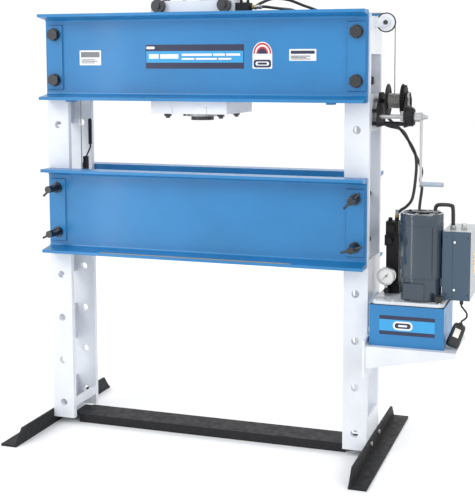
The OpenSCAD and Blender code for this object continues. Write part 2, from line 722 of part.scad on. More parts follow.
module brake_cover() {
    press() color(black) translate([cover_x, pinion_y, pinion_z]) rotate([0, 90, 0]) difference() {
        union() {
            cylinder(d = 80, h = cover_l - 6, $fn = 64);
            cylinder(d = 70, h = cover_l, $fn = 64);
        }
        translate([0, 0, -1]) cylinder(d = 18.6, h = cover_l + 2);
        translate([0, 0, -1]) cylinder(d = 64, h = cover_l - 6);
    }
}
// Flat crank arm with its hub eye and the pin that the grip turns on.
module crank_arm() {
    press() color(steel) translate([crank_x, pinion_y, pinion_z]) {
        difference() {
            union() {
                hull() {
                    rotate([0, 90, 0]) cylinder(d = 44, h = crank_t, $fn = 32);
                    translate([0, 0, -crank_r]) rotate([0, 90, 0]) cylinder(d = 24, h = crank_t, $fn = 32);
                }
                translate([crank_t + grip_l + 1, 0, -crank_r]) rotate([0, 90, 0]) cylinder(d = 16, h = 3);
                translate([0, 0, -crank_r]) rotate([0, 90, 0]) cylinder(d = 10, h = crank_t + grip_l + 2);
            }
            translate([-1, 0, 0]) rotate([0, 90, 0]) cylinder(d = 18.1, h = crank_t + 2);
        }
    }
}
module crank_grip() {
    press() color(slate) translate([crank_x + crank_t + gap, pinion_y, pinion_z - crank_r])
        rotate([0, 90, 0]) difference() {
            cylinder(d = 20, h = grip_l);
            translate([0, 0, -1]) cylinder(d = 10.12, h = grip_l + 2);
        }
}
// Pawl that drops into the brake, on its own pin on the outer plate.
module pawl() {
    press() color(steel) translate([cover_x + gap, pawl_y, pawl_z]) difference() {
        union() {
            rotate([0, 90, 0]) cylinder(d = 16, h = 8);
            block([0, 7], [-12, 4], [pinion_z + 45 - pawl_z, 0]);
        }
        block([-1, 8], [-13, -4], [pinion_z + 60 - pawl_z, -11]);
        translate([-1, 0, 0]) rotate([0, 90, 0]) cylinder(d = 8.12, h = 10);
    }
}

// ---- rope ----

module rope_pulley() {
    rotate_extrude($fn = 64) difference() {
        translate([6.06, -5]) square([pulley_r + 3 - 6.06, 10]);
        translate([pulley_r + 0.2, 0]) circle(d = rope_d + 1.2, $fn = 24);
        translate([pulley_r, -rope_d / 2 - 0.6]) square([10, rope_d + 1.2]);
    }
}
module outer_pulley() { press() color(black) translate([pulley_x, rope_y, pulley_z]) rotate([90, 0, 0]) rope_pulley(); }
module inner_pulley() { press() color(black) translate([inner_pulley_x, rope_y, pulley_z]) rotate([90, 0, 0]) rope_pulley(); }

// Quarter turns of rope of bend radius r, drawn in the XZ plane from angle a0 to a1.
module rope_bend(x, z, r, a0, a1) {
    translate([x, rope_y, z]) rotate([90, 0, 0]) rotate(a0)
        rotate_extrude(angle = a1 - a0, $fn = 64) translate([r, 0]) circle(d = rope_d, $fn = 16);
}
module lifting_rope() {
    top_z = pulley_z + pulley_r;
    run_z = guide_z - guide_r;
    left_x = -(guide_x + guide_r);
    anchor_z = crown_mid_z + 90 - 8 - 6;
    press() color(steel) {
        rod_z(rope_x, rope_y, winch_z, pulley_z + eps, rope_d);
        rope_bend(pulley_x, pulley_z, pulley_r, 0, 90);
        rod_x(rope_y, top_z, inner_pulley_x, pulley_x, rope_d);
        rope_bend(inner_pulley_x, pulley_z, pulley_r, 90, 180);
        rod_z(inner_pulley_x - pulley_r, rope_y, guide_z, pulley_z, rope_d);
        rope_bend(guide_x, guide_z, guide_r, -90, 0);
        rod_x(rope_y, run_z, -guide_x, guide_x, rope_d);
        rope_bend(-guide_x, guide_z, guide_r, 180, 270);
        rod_z(left_x, rope_y, guide_z, anchor_z, rope_d);
        rod_z(left_x, rope_y, anchor_z - 50, anchor_z + 6, 12);
    }
}

// Lever that grips the rope at the left end of the bed.
lever_x = rope_left_x + 3;
lever_y = rope_y + 30;
lever_z = bed_mid_z + channel_depth / 2 + 34;
module lever_block() {
    press() color(black) difference() {
        union() {
            block([lever_x - 8, lever_x + 8], [lever_y - 12, lever_y + 18], [bed_mid_z + 84, lever_z - 16]);
            for (i = [0:5])
                block([lever_x - 8, lever_x + 8], [lever_y - 16, lever_y - 11],
                    [lever_z - 26 - 10 * i, lever_z - 21 - 10 * i]);
            for (x = [lever_x - 8, lever_x + 4])
                block([x, x + 4], [lever_y - 8, lever_y + 18], [lever_z - 17, lever_z + 12]);
            rod_y(lever_x, bed_mid_z + 100, lever_y + 17, web_y_in, 24);
        }
        rod_x(lever_y + 5, lever_z, lever_x - 9, lever_x + 9, 8.1);
    }
}
module rope_lever() {
    press() color(black) translate([lever_x, lever_y + 5, lever_z]) {
        rotate([0, 90, 0]) translate([0, 0, -8]) cylinder(d = 8, h = 16);
        rotate([0, 90, 0]) translate([0, 0, -3.6]) cylinder(d = 18, h = 7.2);
        hull() for (p = [[0, 6], [46, 50]]) translate([0, p[0], p[1]]) sphere(d = 7, $fn = 20);
        hull() for (p = [[46, 50], [46, 70]]) translate([0, p[0], p[1]]) sphere(d = 8, $fn = 20);
        translate([0, 46, 66]) cylinder(d = 17, h = 112);
        translate([0, 46, 178]) sphere(d = 17, $fn = 24);
    }
}

// ---- pump shelf and pump ----

module pump_shelf() {
    y0 = -215;
    y1 = y0 + shelf_depth;
    x1 = shelf_x + shelf_l;
    t = 6;
    module side(y) {
        translate([0, y + t, 0]) rotate([90, 0, 0]) linear_extrude(t)
            polygon([[shelf_x, shelf_z - 96], [x1, shelf_z - 20], [x1, shelf_z], [shelf_x, shelf_z]]);
    }
    press() {
        color(white) difference() {
            union() {
                block([shelf_x, x1], [y0, y1], [shelf_z - t, shelf_z]);
                side(y0);
                side(y1 - t);
                block([post_out, shelf_x], [y0 - 6, y1 + 6], [shelf_z - 137, shelf_z + 25]);
            }
            for (y = [-60, 60], z = [shelf_z - 120, shelf_z + 2 - 60])
                rod_x(y, z, post_out - 1, shelf_x + 1, 13);
        }
        color(dark_steel) for (y = [-60, 60], z = [shelf_z - 120, shelf_z + 2 - 60]) {
            rod_x(y, z, post_out + 0.5, shelf_x + 6, 12);
            translate([shelf_x, y, z]) rotate([0, 90, 0]) hex_z(19, 7);
        }
    }
}
module reservoir() {
    press() color(blue) difference() {
        block([tank_x, tank_x + tank_w], [tank_y, tank_y + tank_depth], [shelf_z, tank_top]);
        block([tank_x + tank_wall, tank_x + tank_w - tank_wall],
            [tank_y + tank_wall, tank_y + tank_depth - tank_wall], [shelf_z + tank_wall, tank_top + 1]);
    }
}
// Plate with round corners along Z.
module round_plate(x, y, z, r) {
    translate([0, 0, z[0]]) linear_extrude(z[1] - z[0]) union() {
        translate([x[0] + r, y[0]]) square([x[1] - x[0] - 2 * r, y[1] - y[0]]);
        translate([x[0], y[0] + r]) square([x[1] - x[0], y[1] - y[0] - 2 * r]);
        for (px = [x[0] + r, x[1] - r], py = [y[0] + r, y[1] - r]) translate([px, py]) circle(r = r);
    }
}
// Lid with its gasket and screws.
breather_x = tank_x + tank_w - 28;
breather_y = tank_y + 39;
return_x = tank_x + 158;
return_y = tank_y + 223;
module reservoir_lid() {
    inset = 8;
    x = [tank_x + inset, tank_x + tank_w - inset];
    y = [tank_y + inset, tank_y + tank_depth - inset];
    press() {
        color(black) round_plate([x[0] - 4, x[1] + 4], [y[0] - 4, y[1] + 4], [tank_top, tank_top + gasket_t], 26);
        color(white) difference() {
            round_plate(x, y, [tank_top + gasket_t - eps, lid_top], 24);
            rod_z(breather_x, breather_y, lid_top - 9, lid_top + 1, 16.2);
        }
        color(dark_steel) rod_z(return_x, return_y, lid_top - eps, lid_top + 20, 22);
        color(dark_steel) {
            for (px = [x[0] + 14, x[1] - 14], py = [y[0] + 12, y[1] - 12]) rod_z(px, py, lid_top - eps, lid_top + 4, 9);
            rod_z((x[0] + x[1]) / 2 - 60, y[0] + 12, lid_top - eps, lid_top + 4, 9);
        }
    }
}
// Motor shell on its base ring, with the fan cowl on top.
module motor() {
    r = motor_d / 2;
    press() translate([motor_x, motor_y, 0]) {
        color(slate) {
            rod_z(0, 0, lid_top, lid_top + 96, motor_d - 10);
            rod_z(0, 0, lid_top + 95, motor_top - 24, motor_d);
            block([-58, 26], [-r - 4, -r + 30], [lid_top + 14, lid_top + 78]);
            block([r - 12, r + 2], [-20, 20], [lid_top + 60, lid_top + 220]);
            translate([0, 0, motor_top - 24]) cylinder(r1 = r, r2 = r - 8, h = 16, $fn = 64);
        }
        color(black) difference() {
            rod_z(0, 0, motor_top - 8 - eps, motor_top, motor_d - 40);
            for (a = [15:30:345]) rotate(a) block([22, r - 28], [-3, 3], [motor_top - 5, motor_top + 1]);
        }
    }
}
// Valve stack: manifold foot, tall body, solenoid blocks, and the arm that carries the gauge.
valve_y = [-14, 56];
valve_top = lid_top + 308;
module valve_block() {
    x = [valve_x, valve_x + valve_w];
    press() color(black) {
        block([x[0], x[1] + 4], valve_y, [lid_top, lid_top + 36]);
        block([x[0] + 4, x[1] - 2], [valve_y[0] + 6, valve_y[1] - 6], [lid_top + 35, lid_top + 210]);
        block([x[0] - 2, x[1]], valve_y, [lid_top + 205, lid_top + 250]);
        block([x[0] + 2, x[1] - 4], [valve_y[0] + 4, valve_y[1] - 4], [lid_top + 249, valve_top]);
        rod_y(x[0] + 22, lid_top + 228, valve_y[0] - 16, valve_y[0] + 1, 26);
        rod_y(x[0] + 26, lid_top + 280, valve_y[0] - 10, valve_y[0] + 5, 34);
        rod_y(gauge_x, lid_top + 22, gauge_y - 12, valve_y[0] + 1, 22);
        rod_z(x[0] + 16, 20, valve_top - 1, valve_top + 14, 18);
        rod_z(x[0] + 42, 32, valve_top - 1, valve_top + 14, 18);
    }
}
gauge_t = 30;
module pressure_gauge() {
    press() {
        color(steel) translate([gauge_x, gauge_y + gauge_t / 2, gauge_z]) rotate([90, 0, 0]) difference() {
            cylinder(d = gauge_d, h = gauge_t, $fn = 64);
            translate([0, 0, gauge_t - 9]) cylinder(d = gauge_d - 8, h = 10, $fn = 64);
        }
        color(white) rod_y(gauge_x, gauge_z, gauge_y - gauge_t / 2 + 7.5, gauge_y - gauge_t / 2 + 9, gauge_d - 8);
        color(brass) rod_z(gauge_x, gauge_y, lid_top + 33, gauge_z - gauge_d / 2 + 4, 14);
    }
}
// Needle between the dial and the glass, lying at zero.
needle_angle = 135;
module gauge_needle() {
    y = gauge_y - gauge_t / 2 + 5.2;
    press() color(black) translate([gauge_x, y, gauge_z]) rotate([90, 0, 0]) {
        cylinder(d = 9, h = 1.6);
        translate([0, 0, -2.2]) cylinder(d = 3, h = 2.3);
        rotate(90 + needle_angle) linear_extrude(1.2)
            polygon([[-12, -2], [gauge_d / 2 - 13, -0.6], [gauge_d / 2 - 13, 0.6], [-12, 2]]);
    }
}
module breather_cap() {
    press() color(black) translate([breather_x, breather_y, 0]) difference() {
        union() {
            rod_z(0, 0, lid_top - 8, lid_top + 1, 16);
            rod_z(0, 0, lid_top + gap, lid_top + 10, 22);
            rod_z(0, 0, lid_top + 9, lid_top + 30, 34);
        }
        for (a = [0:45:315]) rotate(a) rod_z(18, 0, lid_top + 8, lid_top + 31, 5);
    }
}

// Starter box on the motor's side, with its cover, conduit and cord glands.
module control_box() {
    x = [box_x, box_right];
    y = [box_y, box_y + box_depth];
    z = [box_z, box_z + box_h];
    w = 3;
    press() {
        color(slate) {
            difference() {
                block(x, y, z);
                block([x[0] + w, x[1] - w], [y[0] + w + 2, y[1] - w], [z[0] + w, z[1] - w]);
                rod_z(x[0] + 20, y[1] - 30, z[0] - 1, z[0] + w + 1, 12);
                block([x[0] + 41, x[0] + 42], [y[0] - 1, y[0] + 1.5], [z[0] - 1, z[1] + 1]);
            }
            for (dz = [44, box_h - 44]) rod_y(x[0] + 50, z[0] + dz, y[0] - 3, y[0] + 1, 9);
        }
        color(black) {
            rod_z(x[0] + 34, y[0] + 60, z[1] - 1, z[1] + 16, 22);
            rod_z(motor_x + 54, motor_y, motor_top, motor_top + 10, 20);
            conduit_bend();
        }
        color(brass) rod_z(x[0] + 78, y[0] + 70, z[1] - 1, z[1] + 26, 20);
        color(black) rod_z(pendant_route[0][0], pendant_route[0][1], z[0] - 16, z[0] + 1, 16);
    }
}
module conduit_bend() {
    a = [motor_x + 54, motor_y, motor_top + 9];
    b = [box_x + 34, box_y + 60, box_z + box_h + 15];
    top = max(a[2], b[2]) + 26;
    path = [a, [a[0] + 4, a[1], top - 8], [a[0] + 18, a[1], top], [b[0] - 12, b[1], top - 4],
        [b[0] - 2, b[1], top - 18], b];
    tube(smooth(path, 3), 6.5, 10);
}

// ---- cords ----

// A smooth curve through route points, with n steps between neighbours.
function spline(p0, p1, p2, p3, t) = 0.5 * (2 * p1 + (p2 - p0) * t
    + (2 * p0 - 5 * p1 + 4 * p2 - p3) * t * t + (3 * p1 - p0 - 3 * p2 + p3) * t * t * t);
function smooth(p, n) = let (m = len(p) - 1) concat(
    [for (i = [0:m - 1], k = [0:n - 1])
        spline(p[max(i - 1, 0)], p[i], p[i + 1], p[min(i + 2, m)], k / n)],
    [p[m]]);
function unit(v) = v / norm(v);
function tangents(p) = let (m = len(p) - 1)
    [for (i = [0:m]) unit(p[min(i + 1, m)] - p[max(i - 1, 0)])];
// Each ring's first normal is the last ring's, turned as little as the path allows.
function normals(t, i, n) = i == len(t) ? []
    : let (v = unit(n - (n * t[i]) * t[i])) concat([v], normals(t, i + 1, v));
module tube(p, r, sides) {
    t = tangents(p);
    n = normals(t, 0, [0.3, 0.9, 0.2]);
    pts = [for (i = [0:len(p) - 1], k = [0:sides - 1])
        p[i] + r * (cos(360 * k / sides) * n[i] + sin(360 * k / sides) * cross(t[i], n[i]))];
    walls = [for (i = [0:len(p) - 2], k = [0:sides - 1])
        [i * sides + k, i * sides + (k + 1) % sides, (i + 1) * sides + (k + 1) % sides, (i + 1) * sides + k]];
    last = (len(p) - 1) * sides;
    polyhedron(pts, concat([[for (k = [sides - 1:-1:0]) k]], walls, [[for (k = [0:sides - 1]) last + k]]));
}

module pressure_hose() { press() color(black) tube(smooth(pressure_route, 2), hose_d / 2, 8); }
module return_hose() { press() color(black) tube(smooth(return_route, 2), hose_d / 2, 8); }
module pendant_cord() { press() color(black) tube(smooth(pendant_route, 1), cord_d / 2, 8); }

// Hand control that leans beside the reservoir, with its rocker switch.
pendant_size = [56, 46, 106];
pendant_lean = 20;
pendant_at = [1127, -140, shelf_z + 59.6];
module pendant_frame() { press() translate(pendant_at) rotate([0, pendant_lean, 0]) children(); }
module pendant() {
    s = pendant_size / 2;
    r = 10;
    pendant_frame() color(black) difference() {
        union() {
            block([r - s[0], s[0] - r], [-s[1], s[1]], [-s[2], s[2] - 6]);
            block([-s[0], s[0]], [r - s[1], s[1] - r], [-s[2], s[2] - 6]);
            for (x = [r - s[0], s[0] - r], y = [r - s[1], s[1] - r]) rod_z(x, y, -s[2], s[2] - 6, 2 * r);
            rod_z(0, 0, s[2] - 6.5, s[2], 18);
        }
        block([-13, 13], [-s[1] - 1, -s[1] + 12], [-6, 34]);
    }
}
module pendant_switch() {
    front = -pendant_size[1] / 2;
    pendant_frame() color(white) translate([0, front, 14]) {
        rotate([90, 0, 90]) translate([0, 0, -12]) linear_extrude(24)
            polygon([[9, -8], [9, 8], [2, 18.5], [-5, 18.5], [-2, 0], [-5, -18.5], [2, -18.5]]);
        rod_x(4, 0, -12.9, 12.9, 4);
    }
}

// ---- parts ----

crown_front_channel();
crown_rear_channel();
doubler_pads();
crown_bolts();
left_front_post();
left_rear_post();
right_front_post();
right_rear_post();
left_battens();
right_battens();
left_foot();
right_foot();
base_bolts();
floor_channel();
bed_front_channel();
bed_rear_channel();
bed_spacers();
left_upper_pin();
left_lower_pin();
right_upper_pin();
right_lower_pin();
carriage_frame();
front_left_roller();
front_right_roller();
rear_left_roller();
rear_right_roller();
carriage_fasteners();
cylinder_mount();
cylinder_barrel();
gland_nut();
ram();
ram_saddle();
port_block();
winch_frame();
winch_drum();
drum_rope();
winch_pinion();
brake_cover();
crank_arm();
crank_grip();
pawl();
outer_pulley();
inner_pulley();
lifting_rope();
lever_block();
rope_lever();
pump_shelf();
reservoir();
reservoir_lid();
motor();
valve_block();
pressure_gauge();
gauge_needle();
breather_cap();
control_box();
pendant();
pendant_switch();
pendant_cord();
pressure_hose();
return_hose();
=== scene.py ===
import math
import random

import bpy
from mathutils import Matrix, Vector


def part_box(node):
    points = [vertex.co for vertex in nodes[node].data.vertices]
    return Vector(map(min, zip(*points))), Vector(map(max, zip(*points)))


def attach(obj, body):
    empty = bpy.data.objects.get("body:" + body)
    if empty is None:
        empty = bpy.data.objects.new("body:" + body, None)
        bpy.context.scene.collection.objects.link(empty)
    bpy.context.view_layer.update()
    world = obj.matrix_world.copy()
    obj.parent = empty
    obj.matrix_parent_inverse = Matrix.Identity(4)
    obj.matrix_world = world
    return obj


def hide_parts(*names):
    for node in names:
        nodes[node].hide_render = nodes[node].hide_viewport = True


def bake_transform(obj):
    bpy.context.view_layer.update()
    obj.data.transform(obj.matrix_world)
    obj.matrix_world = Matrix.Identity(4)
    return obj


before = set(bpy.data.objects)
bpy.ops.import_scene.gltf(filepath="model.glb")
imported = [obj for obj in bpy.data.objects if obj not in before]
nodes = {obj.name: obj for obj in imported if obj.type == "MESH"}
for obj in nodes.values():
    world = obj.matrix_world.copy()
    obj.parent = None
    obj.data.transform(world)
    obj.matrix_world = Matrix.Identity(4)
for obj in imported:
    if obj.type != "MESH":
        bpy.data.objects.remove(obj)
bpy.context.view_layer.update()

collection = bpy.context.scene.collection

# Middle line of the press's own frame, which the pump's width moves off the row's X = 0.
middle = (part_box("right_rear_post")[0].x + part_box("left_rear_post")[1].x) / 2


def at(x, y, z):
    """A point given in millimetres from the press's own middle line, in the row frame."""
    return Vector((middle + x / 1000, y / 1000, z / 1000))


RIGHT, UP, BACK, FRONT = (1, 0, 0), (0, 0, 1), (0, 1, 0), (0, -1, 0)

# Places that several pieces share, in millimetres from the press's middle line.
MOTOR_X, MOTOR_Y, MOTOR_TOP = 968, -75, 1069
LID_TOP, SHELF_TOP = 707, 520
BOX_LOW, BOX_HIGH, BOX_FRONT, BOX_RIGHT = 715, 1001, -112, 1175
CONDUIT_FOOT = (MOTOR_X + 54, MOTOR_Y, MOTOR_TOP + 9)
CONDUIT_END = (1094, -52, BOX_HIGH + 15)
BREAKOUT_X, BREAKOUT_Y = 1138, -42
GAUGE_X, GAUGE_Z = 818, 791
HOSE_D, CABLE_D = 0.013, 0.008

# ---- camera ----

camera = bpy.data.objects.new("camera", bpy.data.cameras.new("camera"))
collection.objects.link(camera)
camera.data.lens = 74.8
camera.data.sensor_width = 36
camera.data.shift_x = -0.0698
camera.data.shift_y = -0.15
camera.data.clip_end = 60
camera.location = at(1680, -4340, 1668.5)
camera.rotation_euler = (math.pi / 2 - 0.103, 0, 0.3099)
bpy.context.scene.camera = camera

# ---- materials ----


class Graph:
    """A small helper that adds shader nodes and links them."""

    def __init__(self, name):
        self.material = bpy.data.materials.new(name)
        self.material.use_nodes = True
        self.tree = self.material.node_tree
        self.tree.nodes.clear()
        self.output = self.add("ShaderNodeOutputMaterial")
        self.shader = self.add("ShaderNodeBsdfPrincipled")
        self.link(self.shader, "BSDF", self.output, "Surface")
        self.coords = self.add("ShaderNodeTexCoord")

    def add(self, kind, **settings):
        node = self.tree.nodes.new(kind)
        for key, value in settings.items():
            setattr(node, key, value)
        return node

    def link(self, a, out, b, into):
        self.tree.links.new(a.outputs[out], b.inputs[into])

    def noise(self, scale, detail=3.0, rough=0.55, stretch=None):
        node = self.add("ShaderNodeTexNoise")
        node.inputs["Scale"].default_value = scale
        node.inputs["Detail"].default_value = detail
        node.inputs["Roughness"].default_value = rough
        if stretch is None:
            self.link(self.coords, "Object", node, "Vector")
        else:
            mapping = self.add("ShaderNodeMapping")
            mapping.inputs["Scale"].default_value = stretch
            self.link(self.coords, "Object", mapping, "Vector")
            self.link(mapping, "Vector", node, "Vector")
        return node

    def ramp(self, source, out, low, high, a, b):
        """Turns a value between low and high into a value between a and b."""
        node = self.add("ShaderNodeMapRange")
        node.inputs["From Min"].default_value = low
        node.inputs["From Max"].default_value = high
        node.inputs["To Min"].default_value = a
        node.inputs["To Max"].default_value = b
        self.link(source, out, node, "Value")
        return node

    def mix(self, factor, out, a, b):
        node = self.add("ShaderNodeMix", data_type="RGBA")
        self.link(factor, out, node, "Factor")
        for index, value in ((6, a), (7, b)):
            if isinstance(value, tuple):
                node.inputs[index].default_value = (*value, 1)
            else:
                self.tree.links.new(value.outputs[2], node.inputs[index])
        return node

    def colour(self, mixed):
        self.tree.links.new(mixed.outputs[2], self.shader.inputs["Base Color"])

    def roughness(self, texture, a, b, low=0.3, high=0.7):
        self.link(self.ramp(texture, "Fac", low, high, a, b), "Result", self.shader, "Roughness")

    def bevel(self, radius):
        node = self.add("ShaderNodeBevel", samples=4)
        node.inputs["Radius"].default_value = radius
        return node

    def relief(self, height, strength, distance, bevel=None):
        """Bump from a texture's height, on top of the rounded edges where there are any."""
        bump = self.add("ShaderNodeBump")
        bump.inputs["Strength"].default_value = strength
        bump.inputs["Distance"].default_value = distance
        self.link(height, "Fac", bump, "Height")
        if bevel:
            self.link(bevel, "Normal", bump, "Normal")
        self.link(bump, "Normal", self.shader, "Normal")

    def edges(self, radius):
        """1 near an outer edge, 0 on a flat face, from how far the rounded normal leans."""
        bevel = self.bevel(radius)
        geometry = self.add("ShaderNodeNewGeometry")
        dot = self.add("ShaderNodeVectorMath", operation="DOT_PRODUCT")
        self.link(bevel, "Normal", dot, 0)
        self.link(geometry, "Normal", dot, 1)
        return bevel, self.ramp(dot, "Value", 0.985, 0.80, 0.0, 1.0)


def darker(colour, k):
    return tuple(c * k for c in colour)


def lighter(colour, k, add=0.0):
    return tuple(min(1, c * k + add) for c in colour)


def painted(name, colour, rough=0.3, peel=0.15, round_edge=0.0016, wear=(0.25, 0.26, 0.27), wear_amount=0.5,
            coat=0.25, specular=0.5):
    """Enamel on steel: orange peel, faint patches, and thin worn edges."""
    g = Graph(name)
    patches = g.noise(3.2, 4)
    patchy = g.ramp(patches, "Fac", 0.35, 0.65, 0.0, 1.0)
    tone = g.mix(patchy, "Result", darker(colour, 0.90), lighter(colour, 1.05))
    bevel, edge = g.edges(round_edge)
    chips = g.noise(90, 5, 0.7)
    chip = g.ramp(chips, "Fac", 0.52, 0.60, 0.0, wear_amount)
    worn = g.add("ShaderNodeMath", operation="MULTIPLY")
    g.link(edge, "Result", worn, 0)
    g.link(chip, "Result", worn, 1)
    dust = g.noise(14, 6, 0.65)
    dusty = g.mix(g.ramp(dust, "Fac", 0.56, 0.75, 0.0, 0.10), "Result", tone, darker(colour, 0.6))
    g.colour(g.mix(worn, "Value", dusty, wear))
    g.roughness(g.noise(38, 4), rough * 0.82, rough * 1.25)
    g.relief(g.noise(420, 2), peel, 0.0006, bevel)
    g.shader.inputs["Specular IOR Level"].default_value = specular
    g.shader.inputs["Coat Weight"].default_value = coat
    g.shader.inputs["Coat Roughness"].default_value = 0.12
    return g.material


def metal(name, colour, rough=0.32, stretch=(1, 1, 1), scale=160, stain=(0.12, 0.11, 0.10), stain_amount=0.25,
          round_edge=0.0008):
    """Bare steel: machining lines along one way, stains and bright edges."""
    g = Graph(name)
    lines = g.noise(scale, 4, 0.6, stretch)
    machined = g.ramp(lines, "Fac", 0.3, 0.7, 0.0, 1.0)
    tone = g.mix(machined, "Result", darker(colour, 0.78), lighter(colour, 1.12))
    spots = g.noise(22, 6, 0.7)
    stained = g.mix(g.ramp(spots, "Fac", 0.50, 0.72, 0.0, stain_amount), "Result", tone, stain)
    bevel, edge = g.edges(round_edge)
    rubbed = g.mix(edge, "Result", stained, lighter(colour, 1.5, 0.03))
    g.colour(rubbed)
    g.shader.inputs["Metallic"].default_value = 1.0
    g.roughness(lines, rough * 0.75, rough * 1.35, 0.25, 0.75)
    g.relief(lines, 0.12, 0.0003, bevel)
    return g.material


def moulded(name, colour, rough=0.5, grain=500, strength=0.25, round_edge=0.0012):
    """Moulded rubber or plastic with a fine grain and dusty patches."""
    g = Graph(name)
    patches = g.noise(9, 5)
    dusty = g.ramp(patches, "Fac", 0.4, 0.7, 0.0, 1.0)
    g.colour(g.mix(dusty, "Result", colour, lighter(colour, 1.25, 0.006)))
    g.roughness(g.noise(60, 4), rough * 0.85, rough * 1.15)
    g.relief(g.noise(grain, 3), strength, 0.0004, g.bevel(round_edge))
    return g.material


def printed(name, colour, rough=0.35):
    """Vinyl label stock, with a faint mottle under its film."""
    g = Graph(name)
    mottle = g.noise(130, 4)
    g.colour(g.mix(g.ramp(mottle, "Fac", 0.35, 0.65, 0.0, 1.0), "Result", darker(colour, 0.93), colour))
    g.roughness(g.noise(25, 3), rough * 0.8, rough * 1.2)
    g.shader.inputs["Coat Weight"].default_value = 0.4
    g.shader.inputs["Coat Roughness"].default_value = 0.15
    return g.material


def stranded(name):
    """Galvanised wire rope: strands laid in a helix, as slanted bands of painted highlight on the strands and
    painted shade in the grooves between them.
    """
    g = Graph(name)
    mapping = g.add("ShaderNodeMapping")
    mapping.inputs["Rotation"].default_value = (0.5, 0.62, 0.4)
    wave = g.add("ShaderNodeTexWave", wave_type="BANDS", bands_direction="Z")
    wave.inputs["Scale"].default_value = 95
    wave.inputs["Distortion"].default_value = 0.4
    g.link(g.coords, "Object", mapping, "Vector")
    g.link(mapping, "Vector", wave, "Vector")
    # Dark bands are painted shade in the grooves between strands, bright bands painted highlight on the
    # strands.
    g.colour(g.mix(wave, "Fac", (0.10, 0.10, 0.10), (0.58, 0.57, 0.55)))
    g.shader.inputs["Metallic"].default_value = 0.9
    g.roughness(g.noise(80, 3), 0.32, 0.52)
    g.relief(wave, 0.7, 0.0008)
    return g.material


blue = painted("blue_enamel", (0.015, 0.188, 0.448), 0.34, coat=0.12)
white = painted("white_enamel", (0.71, 0.74, 0.79), 0.34, wear=(0.35, 0.35, 0.36), wear_amount=0.35)
black = painted("black_enamel", (0.014, 0.014, 0.016), 0.62, wear=(0.16, 0.15, 0.14), wear_amount=0.6,
                coat=0.0, specular=0.28)
slate = painted("slate_enamel", (0.026, 0.046, 0.070), 0.17, peel=0.22, wear_amount=0.3, coat=0.5)
barrel_paint = painted("barrel_paint", (0.10, 0.12, 0.14), 0.4)
bright = metal("ground_steel", (0.56, 0.57, 0.58), 0.28, (1, 1, 6))
zinc = metal("zinc_plate", (0.47, 0.47, 0.46), 0.36, (2, 2, 2), 70)
dark = metal("blacked_steel", (0.075, 0.077, 0.083), 0.30, (2, 2, 2), 110, (0.10, 0.055, 0.03), 0.2)
brass_look = metal("brass_fitting", (0.62, 0.44, 0.17), 0.30, (1, 1, 5))
chrome_rod = metal("ram_chrome", (0.70, 0.71, 0.72), 0.14, (1, 1, 14), 120, stain_amount=0.08)
rubber = moulded("hose_rubber", (0.012, 0.012, 0.013), 0.46, 650, 0.3)
plastic = moulded("black_plastic", (0.014, 0.014, 0.016), 0.42)
pale_plastic = moulded("pale_plastic", (0.62, 0.61, 0.57), 0.4)
grip_look = moulded("grip_plastic", (0.33, 0.39, 0.46), 0.40)
gasket_look = moulded("gasket", (0.02, 0.02, 0.02), 0.7)
rope_look = stranded("wire_rope")
navy_print = printed("navy_print", (0.006, 0.013, 0.060))
sky_print = printed("sky_print", (0.020, 0.330, 0.680))
white_print = printed("white_print", (0.80, 0.81, 0.82))
amber_print = printed("amber_print", (0.80, 0.50, 0.10))
grey_print = printed("grey_print", (0.16, 0.17, 0.19))
red_print = printed("red_print", (0.55, 0.02, 0.02))
dial_print = printed("dial_print", (0.96, 0.96, 0.94), 0.5)


def box_paint():
    """The starter box: slate front, its right side and top painted paler as a painted highlight, and black
    conduit and glands.
    """
    g = Graph("box_paint")
    geometry = g.add("ShaderNodeNewGeometry")
    normal = g.add("ShaderNodeSeparateXYZ")
    g.link(geometry, "Normal", normal, "Vector")
    patches = g.noise(5, 4)
    tone = g.mix(patches, "Fac", (0.040, 0.074, 0.112), (0.050, 0.090, 0.132))
    # Faces turned right or up get pale grey: painted highlight on the lit side and top of the slate box.
    pale = g.add("ShaderNodeMath", operation="MAXIMUM")
    g.link(g.ramp(normal, "X", 0.6, 0.8, 0.0, 1.0), "Result", pale, 0)
    g.link(g.ramp(normal, "Z", 0.6, 0.8, 0.0, 1.0), "Result", pale, 1)
    side = g.mix(pale, "Value", tone, (0.42, 0.44, 0.46))
    place = g.add("ShaderNodeSeparateXYZ")
    g.link(g.coords, "Object", place, "Vector")
    low, high, fade = BOX_LOW / 1000 - 0.0005, BOX_HIGH / 1000 + 0.0005, 0.0005
    above = g.ramp(place, "Z", high, high + fade, 0.0, 1.0)
    below = g.ramp(place, "Z", low, low - fade, 0.0, 1.0)
    fitting = g.add("ShaderNodeMath", operation="MAXIMUM")
    g.link(above, "Result", fitting, 0)
    g.link(below, "Result", fitting, 1)
    g.colour(g.mix(fitting, "Value", side, (0.016, 0.016, 0.018)))
    g.roughness(g.noise(40, 4), 0.30, 0.44)
    g.relief(g.noise(380, 2), 0.3, 0.0006, g.bevel(0.0016))
    return g.material


box_look = box_paint()

glass = bpy.data.materials.new("gauge_glass")
glass.use_nodes = True
glass_shader = glass.node_tree.nodes["Principled BSDF"]
glass_shader.inputs["Base Color"].default_value = (1, 1, 1, 1)
glass_shader.inputs["Roughness"].default_value = 0.03
glass_shader.inputs["Alpha"].default_value = 0.12
glass_shader.inputs["IOR"].default_value = 1.45

